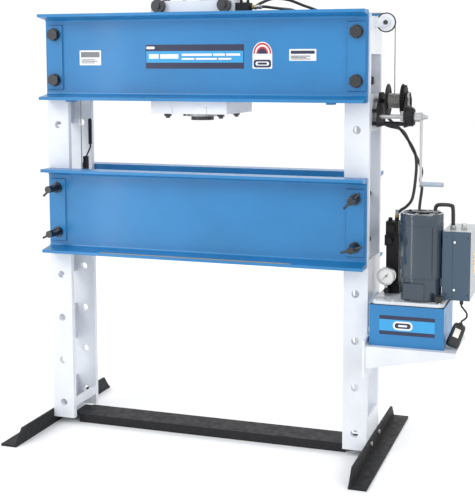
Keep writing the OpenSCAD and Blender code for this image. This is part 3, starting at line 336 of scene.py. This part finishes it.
# Each look, with the CAD nodes that wear it.
looks = (
    (blue, "crown_front_channel crown_rear_channel doubler_pads bed_front_channel bed_rear_channel "
           "bed_spacers reservoir"),
    (white, "left_front_post left_rear_post right_front_post right_rear_post left_battens right_battens "
            "carriage_frame cylinder_mount pump_shelf reservoir_lid outer_pulley"),
    (black, "left_foot right_foot floor_channel winch_frame winch_drum brake_cover lever_block rope_lever "
            "valve_block port_block"),
    (slate, "motor"),
    (box_look, "control_box"),
    (barrel_paint, "cylinder_barrel"),
    (bright, "crank_arm winch_pinion pressure_gauge"),
    (zinc, "base_bolts pawl gland_nut inner_pulley"),
    (dark, "crown_bolts left_upper_pin left_lower_pin right_upper_pin right_lower_pin front_left_roller "
           "front_right_roller rear_left_roller rear_right_roller carriage_fasteners ram_saddle"),
    (chrome_rod, "ram"),
    (rope_look, "drum_rope lifting_rope"),
    (plastic, "pendant gauge_needle breather_cap"),
    (pale_plastic, "pendant_switch"),
    (grip_look, "crank_grip"),
    (rubber, "pressure_hose return_hose pendant_cord"),
)
for look, names in looks:
    for name in names.split():
        data = nodes[name].data
        if not data.materials:
            data.materials.append(look)
        for index in range(len(nodes[name].material_slots)):
            nodes[name].material_slots[index].material = look

# ---- mesh helpers ----


def new_object(name, mesh, look, body, smooth=True):
    """Links a finished mesh as a piece that rides on a CAD body."""
    if smooth:
        for face in mesh.polygons:
            face.use_smooth = True
    obj = bpy.data.objects.new(name, mesh)
    collection.objects.link(obj)
    obj.data.materials.append(look)
    if body:
        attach(obj, body)
    return obj


def smooth_route(route, steps):
    """Points on a Catmull-Rom curve through the route, steps of them between neighbours."""
    points = []
    last = len(route) - 1
    for i in range(last):
        p0, p1, p2, p3 = route[max(i - 1, 0)], route[i], route[i + 1], route[min(i + 2, last)]
        for k in range(steps):
            t = k / steps
            points.append(0.5 * (2 * p1 + (p2 - p0) * t + (2 * p0 - 5 * p1 + 4 * p2 - p3) * t * t
                                 + (3 * p1 - p0 - 3 * p2 + p3) * t ** 3))
    points.append(route[last])
    return points


def tube_mesh(name, points, radius, sides=16, closed=False):
    """A tube along points. radius is a number, or a function of the point's index."""
    mesh = bpy.data.meshes.new(name)
    count = len(points)
    verts, faces = [], []
    normal = Vector((0.3, 0.9, 0.2))
    for i, point in enumerate(points):
        if closed:
            tangent = points[(i + 1) % count] - points[i - 1]
        else:
            tangent = points[min(i + 1, count - 1)] - points[max(i - 1, 0)]
        tangent.normalize()
        normal = (normal - tangent * normal.dot(tangent)).normalized()
        side = tangent.cross(normal)
        r = radius(i) if callable(radius) else radius
        for k in range(sides):
            a = 2 * math.pi * k / sides
            verts.append(point + r * (math.cos(a) * normal + math.sin(a) * side))
    for i in range(count if closed else count - 1):
        j = (i + 1) % count
        for k in range(sides):
            n = (k + 1) % sides
            faces.append((i * sides + k, i * sides + n, j * sides + n, j * sides + k))
    if not closed:
        faces.append(tuple(range(sides - 1, -1, -1)))
        faces.append(tuple((count - 1) * sides + k for k in range(sides)))
    mesh.from_pydata(verts, [], faces)
    mesh.update()
    return mesh


def revolve(name, profile, place, direction, look, body, sides=48, ring=False):
    """A turned piece: profile is [(radius, along)], in metres, turned about direction from place."""
    z = Vector(direction).normalized()
    x = z.orthogonal().normalized()
    y = z.cross(x)
    verts, faces = [], []
    for r, along in profile:
        for k in range(sides):
            a = 2 * math.pi * k / sides
            verts.append(place + z * along + r * (math.cos(a) * x + math.sin(a) * y))
    for i in range(len(profile) if ring else len(profile) - 1):
        j = (i + 1) % len(profile)
        for k in range(sides):
            n = (k + 1) % sides
            faces.append((i * sides + k, i * sides + n, j * sides + n, j * sides + k))
    if not ring:
        faces.append(tuple(range(sides - 1, -1, -1)))
        faces.append(tuple((len(profile) - 1) * sides + k for k in range(sides)))
    mesh = bpy.data.meshes.new(name)
    mesh.from_pydata(verts, [], faces)
    mesh.update()
    obj = new_object(name, mesh, look, body)
    split = obj.modifiers.new("split", "EDGE_SPLIT")
    split.split_angle = math.radians(32)
    return obj


def rounded(width, height, r, steps=5):
    """Corner points of a rounded rectangle about (0, 0)."""
    points = []
    for cx, cy, start in ((1, 1, 0), (-1, 1, 90), (-1, -1, 180), (1, -1, 270)):
        for k in range(steps + 1):
            a = math.radians(start + 90 * k / steps)
            points.append((cx * (width / 2 - r) + r * math.cos(a), cy * (height / 2 - r) + r * math.sin(a)))
    return points


def plate(name, outline, place, right, up, thick, look, body):
    """A flat piece: its outline lies on a surface at place, and stands off it by its thickness."""
    right, up = Vector(right), Vector(up)
    out = right.cross(up).normalized()
    back = [place + right * u + up * v for u, v in outline]
    front = [point + out * thick for point in back]
    n = len(outline)
    mesh = bpy.data.meshes.new(name)
    faces = [tuple(range(n, 2 * n)), tuple(range(n - 1, -1, -1))]
    faces += [(i, (i + 1) % n, n + (i + 1) % n, n + i) for i in range(n)]
    mesh.from_pydata(back + front, [], faces)
    mesh.update()
    return new_object(name, mesh, look, body, smooth=False)


def bead(name, corners, radius, look, body, closed=True, step=0.006):
    """A weld bead along a line of corners, with the ripples of a hand weld."""
    points = []
    count = len(corners) if closed else len(corners) - 1
    for i in range(count):
        a, b = corners[i], corners[(i + 1) % len(corners)]
        n = max(2, int((b - a).length / step))
        points += [a.lerp(b, k / n) for k in range(n)]
    if not closed:
        points.append(corners[-1])
    rng = random.Random(len(points))
    sizes = [radius * (0.82 + 0.30 * (i % 2) + 0.12 * rng.random()) for i in range(len(points))]
    mesh = tube_mesh(name, points, lambda i: sizes[i], 6, closed)
    return new_object(name, mesh, look, body)


# ---- cords ----

# Each route runs from the piece that the cord leaves to the piece that it enters.
pressure_route = [
    (229.8, -90, 1926), (242, -88.9, 1928), (268, -80, 1944), (304, -30, 1964), (350, 40, 1962),
    (395, 120, 1942), (422, 178, 1930), (438, 214, 1920), (450, 232, 1896), (464, 237, 1855),
    (500, 235, 1780), (560, 235, 1680),
    (640, 235, 1580), (720, 228, 1490), (780, 205, 1430), (827, 180, 1395), (885, 150, 1321),
    (904, 130, 1272), (909, 100, 1205), (903, 60, 1113), (882, 40, 1078), (860, 33, 1062),
    (844, 32.1, 1045), (842, 32, 1029.7)]
return_route = [
    (229.8, -68, 1926), (242, -64.8, 1926.4), (264, -38, 1930), (290, 20, 1928), (310, 90, 1927),
    (325, 165, 1927), (335, 212, 1920), (344, 231, 1896), (358, 237, 1850), (400, 236, 1760),
    (470, 236, 1650), (560, 236, 1550),
    (660, 232, 1470), (750, 220, 1415), (828, 200, 1393), (872, 180, 1326), (924, 150, 1231),
    (925, 120, 1184), (936, 100, 1152), (933, 70, 1082), (932, 50, 1000), (930, 40, 900),
    (930, 38, 727.3)]
pendant_route = [
    (1140, -100, 698.6), (1140.4, -100.2, 690.5), (1151, -107, 680), (1163, -117, 668),
    (1166.5, -128, 655), (1159, -137, 645.5), (1148.4, -140, 638.2), (1145.4, -140, 629.9)]


def make_cord(name, route, diameter, node, lay, moves, stiffness):
    """The cord's tube in place of its CAD node, with its transform baked in where it moves and fixed to the
    press where it doesn't.
    """
    points = smooth_route([at(*p) for p in route], 9)
    obj = new_object(name, tube_mesh(name, points, diameter / 2, 14), rubber, None)
    length = sum((b - a).length for a, b in zip(points, points[1:]))
    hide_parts(node)
    if moves:
        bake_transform(obj)
    else:
        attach(obj, "press")
    return obj, points, length, diameter, lay, stiffness


def ferrule(name, point, towards, diameter, body):
    """Crimped zinc sleeve and brass-coloured hexagon nut on a hose end."""
    r = diameter / 2
    profile = [(r * 1.02, 0.034), (r * 1.30, 0.033), (r * 1.34, 0.026), (r * 1.20, 0.024), (r * 1.34, 0.021),
               (r * 1.20, 0.018), (r * 1.34, 0.015), (r * 1.22, 0.012), (r * 1.05, 0.011)]
    revolve(name + "_sleeve", profile, point, towards, zinc, body, 24)
    nut = [(r * 1.45, 0.0), (r * 1.60, 0.001), (r * 1.60, 0.010), (r * 1.45, 0.011)]
    revolve(name + "_nut", nut, point, towards, brass_look, body, 6)


cords = [
    make_cord("pressure_hose_tube", pressure_route, HOSE_D, "pressure_hose", "hanging", True, "stiff"),
    make_cord("return_hose_tube", return_route, HOSE_D, "return_hose", "hanging", True, "stiff"),
    make_cord("pendant_cable", pendant_route, CABLE_D, "pendant_cord", "hanging", False, "medium")]
for (obj, points, *_), label in zip(cords[:2], ("pressure", "return")):
    ferrule(label + "_top", points[0], points[1] - points[0], HOSE_D, "carriage")
    ferrule(label + "_foot", points[-1], points[-2] - points[-1], HOSE_D, "press")

# ---- labels on the crown, the bed and the reservoir ----


def label(name, y, layers):
    """A printed label: its ground, then bands and marks as (look, x0, x1, z0, z1, corner)."""
    for i, (look, x0, x1, z0, z1, r) in enumerate(layers):
        w, h = (x1 - x0) / 1000, (z1 - z0) / 1000
        place = at((x0 + x1) / 2, y - 0.35 * i, (z0 + z1) / 2)
        plate(f"{name}_{i}", rounded(w, h, min(r / 1000, w / 2.01, h / 2.01)), place, RIGHT, UP,
              0.0005 + 0.0002 * i, look, "press")


web_y = -132.2
title = [(navy_print, -252, 205, 1664, 1768, 3), (sky_print, -249, 202, 1690, 1740, 1)]
title_marks = [(-236, -190, 1707, 1727), (-182, -96, 1707, 1727)]
title_marks += [(x0, x1, 1719, 1729) for x0, x1 in ((-80, 60), (66, 120), (126, 190))]
title_marks += [(x0, x1, 1702, 1710) for x0, x1 in ((-80, -20), (-14, 84), (90, 150))]
title += [(white_print, *mark, 2) for mark in title_marks]
title.append((white_print, -246, -206, 1749, 1760, 5))
label("crown_title", web_y, title)
label("crown_note_left", web_y,
      [(white_print, -576, -470, 1679, 1745, 3), (grey_print, -569, -477, 1714, 1738, 2)]
      + [(grey_print, -566, -500 + 12 * (i % 2), 1688 + 7 * i, 1691 + 7 * i, 1) for i in range(3)])
label("crown_note_right", web_y,
      [(white_print, 407, 525, 1697, 1746, 3), (navy_print, 414, 518, 1726, 1739, 1)]
      + [(grey_print, 414, 500 - 18 * (i % 2), 1703 + 6 * i, 1706 + 6 * i, 1) for i in range(3)])
badge = [(white_print, 244, 332, 1664, 1726, 4), (navy_print, 249, 327, 1669, 1702, 10),
         (white_print, 258, 318, 1677, 1694, 8), (navy_print, 267, 309, 1681, 1690, 4)]
label("crown_badge", web_y, badge)


def arch(half_width, height):
    angles = [math.radians(a) for a in range(0, 181, 9)]
    return [(half_width * math.cos(a), height * math.sin(a)) for a in angles]


plate("crown_badge_arch", arch(0.044, 0.052), at(288, web_y, 1725.5), RIGHT, UP, 0.0008, white_print, "press")
for i, look in enumerate((red_print, white_print, red_print, navy_print)):
    k = 1 - 0.17 * i
    place = at(288, web_y - 0.9 - 0.3 * i, 1727)
    plate(f"crown_badge_stripe_{i}", arch(0.040 * k, 0.046 * k), place, RIGHT, UP, 0.0003, look, "press")

bed_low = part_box("bed_front_channel")[0].z
flange_top = (bed_low + 0.0135) * 1000
strip = rounded(0.890, 0.030, 0.002)
plate("bed_strip", strip, at(-10, -192, flange_top + 0.7), RIGHT, BACK, 0.0006, amber_print, "press")
for i in range(22):
    w = 0.030 if i % 3 else 0.018
    place = at(-430 + 40 * i, -192, flange_top + 1.3)
    plate(f"bed_strip_mark_{i}", rounded(w, 0.004, 0.001), place, RIGHT, BACK, 0.0003, grey_print, "press")

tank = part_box("reservoir")
tank_front = tank[0].y * 1000
left, right = (tank[0].x - middle) * 1000, (tank[1].x - middle) * 1000
panel = [(navy_print, left + 43, right - 37, 570, 650, 4), (sky_print, left + 43, right - 37, 586, 634, 1),
         (white_print, left + 100, right - 128, 592, 628, 17),
         (navy_print, left + 108, right - 136, 599, 621, 10),
         (white_print, left + 122, right - 150, 606, 614, 4)]
label("tank_panel", tank_front - 0.1, panel)

# ---- welds ----

for side in (-1, 1):
    for face in (-1, 1):
        for low, high in ((878.8, 1162.0), (1572.9, 1856.1)):
            y, x0, x1 = face * 132.0, side * 698 - 38, side * 698 + 38
            corners = [at(x0, y, low), at(x1, y, low), at(x1, y, high), at(x0, y, high)]
            bead(f"pad_weld_{side + 1}{face + 1}_{int(low)}", corners, 0.0032, blue, "press")
for side in (-1, 1):
    for y in (-97, 97):
        for low, high in ((34, 175), (360, 530), (689.8, 859.8), (1405, 1558), (1725, 1880)):
            x = side * 741.0
            name = f"batten_weld_{side + 1}{0 if y < 0 else 1}_{int(low)}"
            bead(name, [at(x, y, low), at(x, y, high)], 0.0035, white, "press", False)
shelf_face = 761.5
for y in (-209, 89):
    for sign in (-1, 1):
        name, side_y = f"shelf_weld_{0 if y < 0 else 1}{sign + 1}", y + 3 * sign
        bead(name, [at(shelf_face, side_y, 426), at(shelf_face, side_y, 514)], 0.003, white, "press",
             False)
top_weld = [at(shelf_face, -215, SHELF_TOP + 0.5), at(shelf_face, 95, SHELF_TOP + 0.5)]
bead("shelf_weld_top", top_weld, 0.003, white, "press", False)
for x in (-600.2, -505.2, 505.2, 600.2):
    for y in (-122, 122):
        zs = (960.4,) if abs(x) > 550 else (890.4, 1140.4)
        r = 31 if abs(x) > 550 else 26
        for z in zs:
            angles = [math.tau * k / 28 for k in range(28)]
            ring = [at(x + r * math.cos(a), y * 0.99, z + r * math.sin(a)) for a in angles]
            bead(f"spacer_weld_{int(x)}_{y}_{int(z)}", ring, 0.003, blue, "press", True, 0.02)

# ---- gauge ----

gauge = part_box("pressure_gauge")
front = gauge[0].y * 1000
centre = at(GAUGE_X, front, GAUGE_Z)
bezel = [(0.0335, -0.0005), (0.0338, 0.0035), (0.0362, 0.0045), (0.0386, 0.0030), (0.0392, -0.0040),
         (0.0388, -0.0075), (0.0381, -0.0075), (0.0381, -0.0005)]
revolve("gauge_bezel", bezel, centre, FRONT, bright, "press", 64, True)
dial = at(GAUGE_X, front + 7.4, GAUGE_Z)
dial_r = 0.0338
circle = [(dial_r * math.cos(math.tau * k / 48), dial_r * math.sin(math.tau * k / 48)) for k in range(48)]
plate("gauge_dial", circle, dial, RIGHT, UP, 0.0004, dial_print, "press")
for i in range(41):
    a = math.radians(225 - 270 * i / 40)
    long = i % 5 == 0
    mid, half = (0.0290, 0.0022) if long else (0.0300, 0.0012)
    mark = [(-half, -0.0003), (half, -0.0003), (half, 0.0003), (-half, 0.0003)]
    across = (math.cos(a), 0, math.sin(a))
    plate(f"gauge_mark_{i}", mark, dial + Vector(across) * mid + Vector((0, -0.0004, 0)), across,
          (-math.sin(a), 0, math.cos(a)), 0.0002, red_print if i > 35 else navy_print, "press")
lens = [(0.0002, 0.0), (dial_r, 0.0), (dial_r, -0.0015), (0.0002, -0.0015)]
revolve("gauge_lens", lens, centre, FRONT, glass, "press", 48)

# ---- motor top, starter box and lid details ----

shaft = at(MOTOR_X, MOTOR_Y, 0)


def motor_ring(name, profile, look, ring=True):
    """A turned piece about the motor's own axis: profile is [(radius, height)], in millimetres."""
    metres = [(r / 1000, z / 1000) for r, z in profile]
    revolve(name, metres, shaft, UP, look, "press", 72, ring)


motor_ring("motor_cowl", [(90.4, 1036), (90.4, 1064), (88.6, 1069.5), (84, 1071.5), (78.5, 1071.5), (77, 1069),
                          (76.5, 1061), (88, 1056), (88, 1036)], slate)
motor_ring("motor_band", [(90.2, 1020), (90.9, 1020.4), (90.9, 1023.6), (90.2, 1024)], slate)
motor_ring("motor_foot_band", [(90.2, 803.5), (91.0, 804), (91.0, 808), (90.2, 808.5)], slate)
motor_ring("motor_vent_hub", [(40, 1068.5), (40, 1074), (37.5, 1076), (22, 1077), (20, 1074.5), (0.5, 1074.5)],
           box_look, False)
for i in range(6):
    a = math.radians(20 + 60 * i)
    across, along = (-math.sin(a), math.cos(a), 0), (math.cos(a), math.sin(a), 0)
    bar = [(0.007, 0.079), (-0.007, 0.079), (-0.005, 0.036), (0.005, 0.036)]
    plate(f"motor_vent_bar_{i}", bar, at(MOTOR_X, MOTOR_Y, MOTOR_TOP - 0.5), across, along, -0.0045, slate,
          "press")
for i in range(4):
    a = math.radians(45 + 90 * i)
    place = shaft + Vector((0.0835 * math.cos(a), 0.0835 * math.sin(a), 1.0712))
    head = [(0.0042, 0), (0.0042, 0.0022), (0.0034, 0.003), (0.0002, 0.003)]
    revolve(f"motor_cowl_screw_{i}", head, place, UP, zinc, "press", 16)
seam = math.radians(-52)
seam_place = shaft + Vector((0.0903 * math.cos(seam), 0.0903 * math.sin(seam), 0.920))
seam_across = (-math.sin(seam), math.cos(seam), 0)
plate("motor_seam", rounded(0.0022, 0.196, 0.0008), seam_place, seam_across, UP, 0.0006, gasket_look, "press")

foot_x, foot_y, foot_z = CONDUIT_FOOT
end_x, end_y, end_z = CONDUIT_END
over = foot_z + 27
conduit_route = [CONDUIT_FOOT, (foot_x + 4, foot_y, over - 8), (foot_x + 18, foot_y, over),
                 (end_x - 12, end_y, over - 4), (end_x - 2, end_y, over - 18), CONDUIT_END]
points = smooth_route([at(*p) for p in conduit_route], 8)
sleeve = tube_mesh("conduit_sleeve", points, lambda i: 0.0078 + 0.0004 * (i % 2), 16)
new_object("conduit_sleeve", sleeve, rubber, "press")
hexagons = (("conduit_foot", at(foot_x, foot_y, MOTOR_TOP - 0.2), 0.0125),
            ("conduit_nut", at(end_x, end_y, BOX_HIGH - 0.5), 0.0145),
            ("breakout_nut", at(BREAKOUT_X, BREAKOUT_Y, BOX_HIGH - 0.5), 0.0140))
for name, place, r in hexagons:
    nut = [(r * 0.9, 0), (r, 0.001), (r, 0.009), (r * 0.88, 0.0105), (r * 0.62, 0.0108)]
    revolve(name, nut, place, UP, zinc, "press", 6)
breakout = [(0.0112, 0), (0.0112, 0.014), (0.0095, 0.0172), (0.0003, 0.0180)]
revolve("breakout_cap", breakout, at(BREAKOUT_X, BREAKOUT_Y, BOX_HIGH + 9.5), UP, bright, "press",
        28)
collar = [(0.0120, 0), (0.0120, 0.006), (0.0098, 0.008), (0.0080, 0.0082)]
revolve("conduit_collar", collar, at(end_x, end_y, BOX_HIGH + 10), UP, bright, "press", 28)
screw = [(0.0052, 0), (0.0052, 0.0012), (0.0040, 0.0026), (0.0003, 0.0032)]
rivet = [(0.0030, 0), (0.0028, 0.0010), (0.0003, 0.0014)]
for i, (z, rivet_z) in enumerate(((BOX_LOW + 44, BOX_LOW + 24), (BOX_HIGH - 44, BOX_HIGH - 24))):
    revolve(f"box_screw_{i}", screw, at(1110, BOX_FRONT - 2.8, z), FRONT, white_print, "press",
            20)
    for j, x in enumerate((1076, 1164)):
        revolve(f"box_rivet_{i}{j}", rivet, at(x, BOX_FRONT, rivet_z), FRONT, gasket_look, "press",
                12)
side_label = ((amber_print, 0.058, 0.094, 850, 0.1), (grey_print, 0.044, 0.006, 878, 0.5),
              (grey_print, 0.044, 0.004, 862, 0.5), (grey_print, 0.030, 0.004, 846, 0.5))
for i, (look, w, h, z, off) in enumerate(side_label):
    plate(f"box_label_{i}", rounded(w, h, 0.0015), at(BOX_RIGHT + off, 22, z), BACK, UP, 0.0005, look, "press")

gasket_place = at(927, -60, tank[1].z * 1000 + 0.2)
plate("lid_gasket", rounded(0.3028, 0.2428, 0.0264), gasket_place, RIGHT, BACK, 0.0027, gasket_look, "press")
for i in range(3):
    note_place = at(806, -128 + 14 * i, LID_TOP + 0.2)
    plate(f"lid_note_{i}", rounded(0.050 - 0.012 * i, 0.006, 0.001), note_place, RIGHT, BACK, 0.0004,
          grey_print, "press")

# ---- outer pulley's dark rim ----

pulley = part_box("outer_pulley")
pulley_centre = (pulley[0] + pulley[1]) / 2
rim = (pulley[1].x - pulley[0].x) / 2
face = pulley[0].y - pulley_centre.y
ring = [(rim - 0.0045, -face - 0.0002), (rim - 0.0045, -face + 0.0006), (rim + 0.0004, -face + 0.0006),
        (rim + 0.0004, -face - 0.0030), (rim + 0.0001, -face - 0.0030), (rim + 0.0001, -face - 0.0002)]
revolve("pulley_rim", ring, pulley_centre, FRONT, gasket_look, "pulley_outer", 64, True)

# ---- pendant: moulded body with a pocket for its rocker ----


def moulded_pendant():
    """Rounded housing lofted up the pendant's own length, with the rocker's pocket cut out."""
    lean = math.radians(20)
    place = at(1127, -140, 579.6)
    across, up = Vector((math.cos(lean), 0, -math.sin(lean))), Vector((math.sin(lean), 0, math.cos(lean)))
    # Height along the pendant, and the outline's size there as a share of the full outline.
    rows = [(-53, 0.62), (-52.2, 0.80), (-49, 0.93), (-44, 0.99), (-36, 1.0), (-8, 0.97), (22, 0.95),
            (34, 0.92), (41, 0.84), (45, 0.70), (46.8, 0.50), (47, 0.34), (52.5, 0.30)]
    verts, faces = [], []
    for z, k in rows:
        outline = rounded(0.056 * k, 0.046 * k, 0.0155 * k, 6)
        verts += [place + across * u + Vector((0, v, 0)) + up * z / 1000 for u, v in outline]
    n = len(outline)
    for i in range(len(rows) - 1):
        low, high = i * n, (i + 1) * n
        faces += [(low + k, low + (k + 1) % n, high + (k + 1) % n, high + k) for k in range(n)]
    faces += [tuple(range(n - 1, -1, -1)), tuple((len(rows) - 1) * n + k for k in range(n))]
    mesh = bpy.data.meshes.new("pendant_shell")
    mesh.from_pydata(verts, [], faces)
    shell = bpy.data.objects.new("pendant_shell", mesh)
    cut_mesh = bpy.data.meshes.new("pendant_cut")
    corners = [place + across * x + Vector((0, y, 0)) + up * z for z in (-0.006, 0.034)
               for x, y in ((-0.013, -0.030), (0.013, -0.030), (0.013, -0.011), (-0.013, -0.011))]
    sides = [(k, (k + 1) % 4, (k + 1) % 4 + 4, k + 4) for k in range(4)]
    cut_mesh.from_pydata(corners, [], [(3, 2, 1, 0), (4, 5, 6, 7)] + sides)
    cutter = bpy.data.objects.new("pendant_cut", cut_mesh)
    for obj in (shell, cutter):
        collection.objects.link(obj)
    cut = shell.modifiers.new("pocket", "BOOLEAN")
    cut.operation, cut.object, cut.solver = "DIFFERENCE", cutter, "EXACT"
    bpy.context.view_layer.update()
    body = bpy.data.meshes.new_from_object(shell.evaluated_get(bpy.context.evaluated_depsgraph_get()))
    for obj in (shell, cutter):
        bpy.data.objects.remove(obj)
    body.materials.clear()
    piece = new_object("pendant_body", body, plastic, "press")
    split = piece.modifiers.new("split", "EDGE_SPLIT")
    split.split_angle = math.radians(40)
    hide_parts("pendant")


moulded_pendant()

# ---- floor and light ----

floor_mesh = bpy.data.meshes.new("floor")
floor_mesh.from_pydata([(-30, -30, 0), (30, -30, 0), (30, 30, 0), (-30, 30, 0)], [], [(0, 1, 2, 3)])
floor = bpy.data.objects.new("floor", floor_mesh)
floor.location.z = -0.0005
collection.objects.link(floor)
floor_look = Graph("floor_paint")
floor_tone = floor_look.mix(floor_look.noise(0.6, 3), "Fac", (0.92, 0.92, 0.92), (0.95, 0.95, 0.95))
floor_look.colour(floor_tone)
floor_look.shader.inputs["Roughness"].default_value = 0.7
floor.data.materials.append(floor_look.material)

world = bpy.data.worlds.new("studio")
bpy.context.scene.world = world
world.use_nodes = True
world.node_tree.nodes["Background"].inputs["Color"].default_value = (1.0, 1.0, 1.0, 1)
world.node_tree.nodes["Background"].inputs["Strength"].default_value = 1.07


def area(name, place, target, size, power):
    light = bpy.data.lights.new(name, "AREA")
    light.shape = "RECTANGLE"
    light.size, light.size_y = size
    light.energy = power
    obj = bpy.data.objects.new(name, light)
    obj.location = place
    obj.rotation_euler = (Vector(target) - Vector(place)).to_track_quat("-Z", "Y").to_euler()
    collection.objects.link(obj)


area("key", (-3.2, -4.2, 4.6), (0, 0, 1.1), (2.0, 2.6), 96)
area("fill", (4.2, -3.0, 3.0), (0.2, 0, 1.0), (2.4, 2.4), 30)
area("strip", (-2.0, -2.9, 0.9), (0.8, 0, 0.9), (0.17, 2.4), 9.5)
area("back", (0.0, 4.2, 4.2), (0, 0, 1.2), (4.0, 1.6), 60)

bpy.context.scene.view_settings.view_transform = "Standard"
bpy.context.scene.view_settings.look = "None"
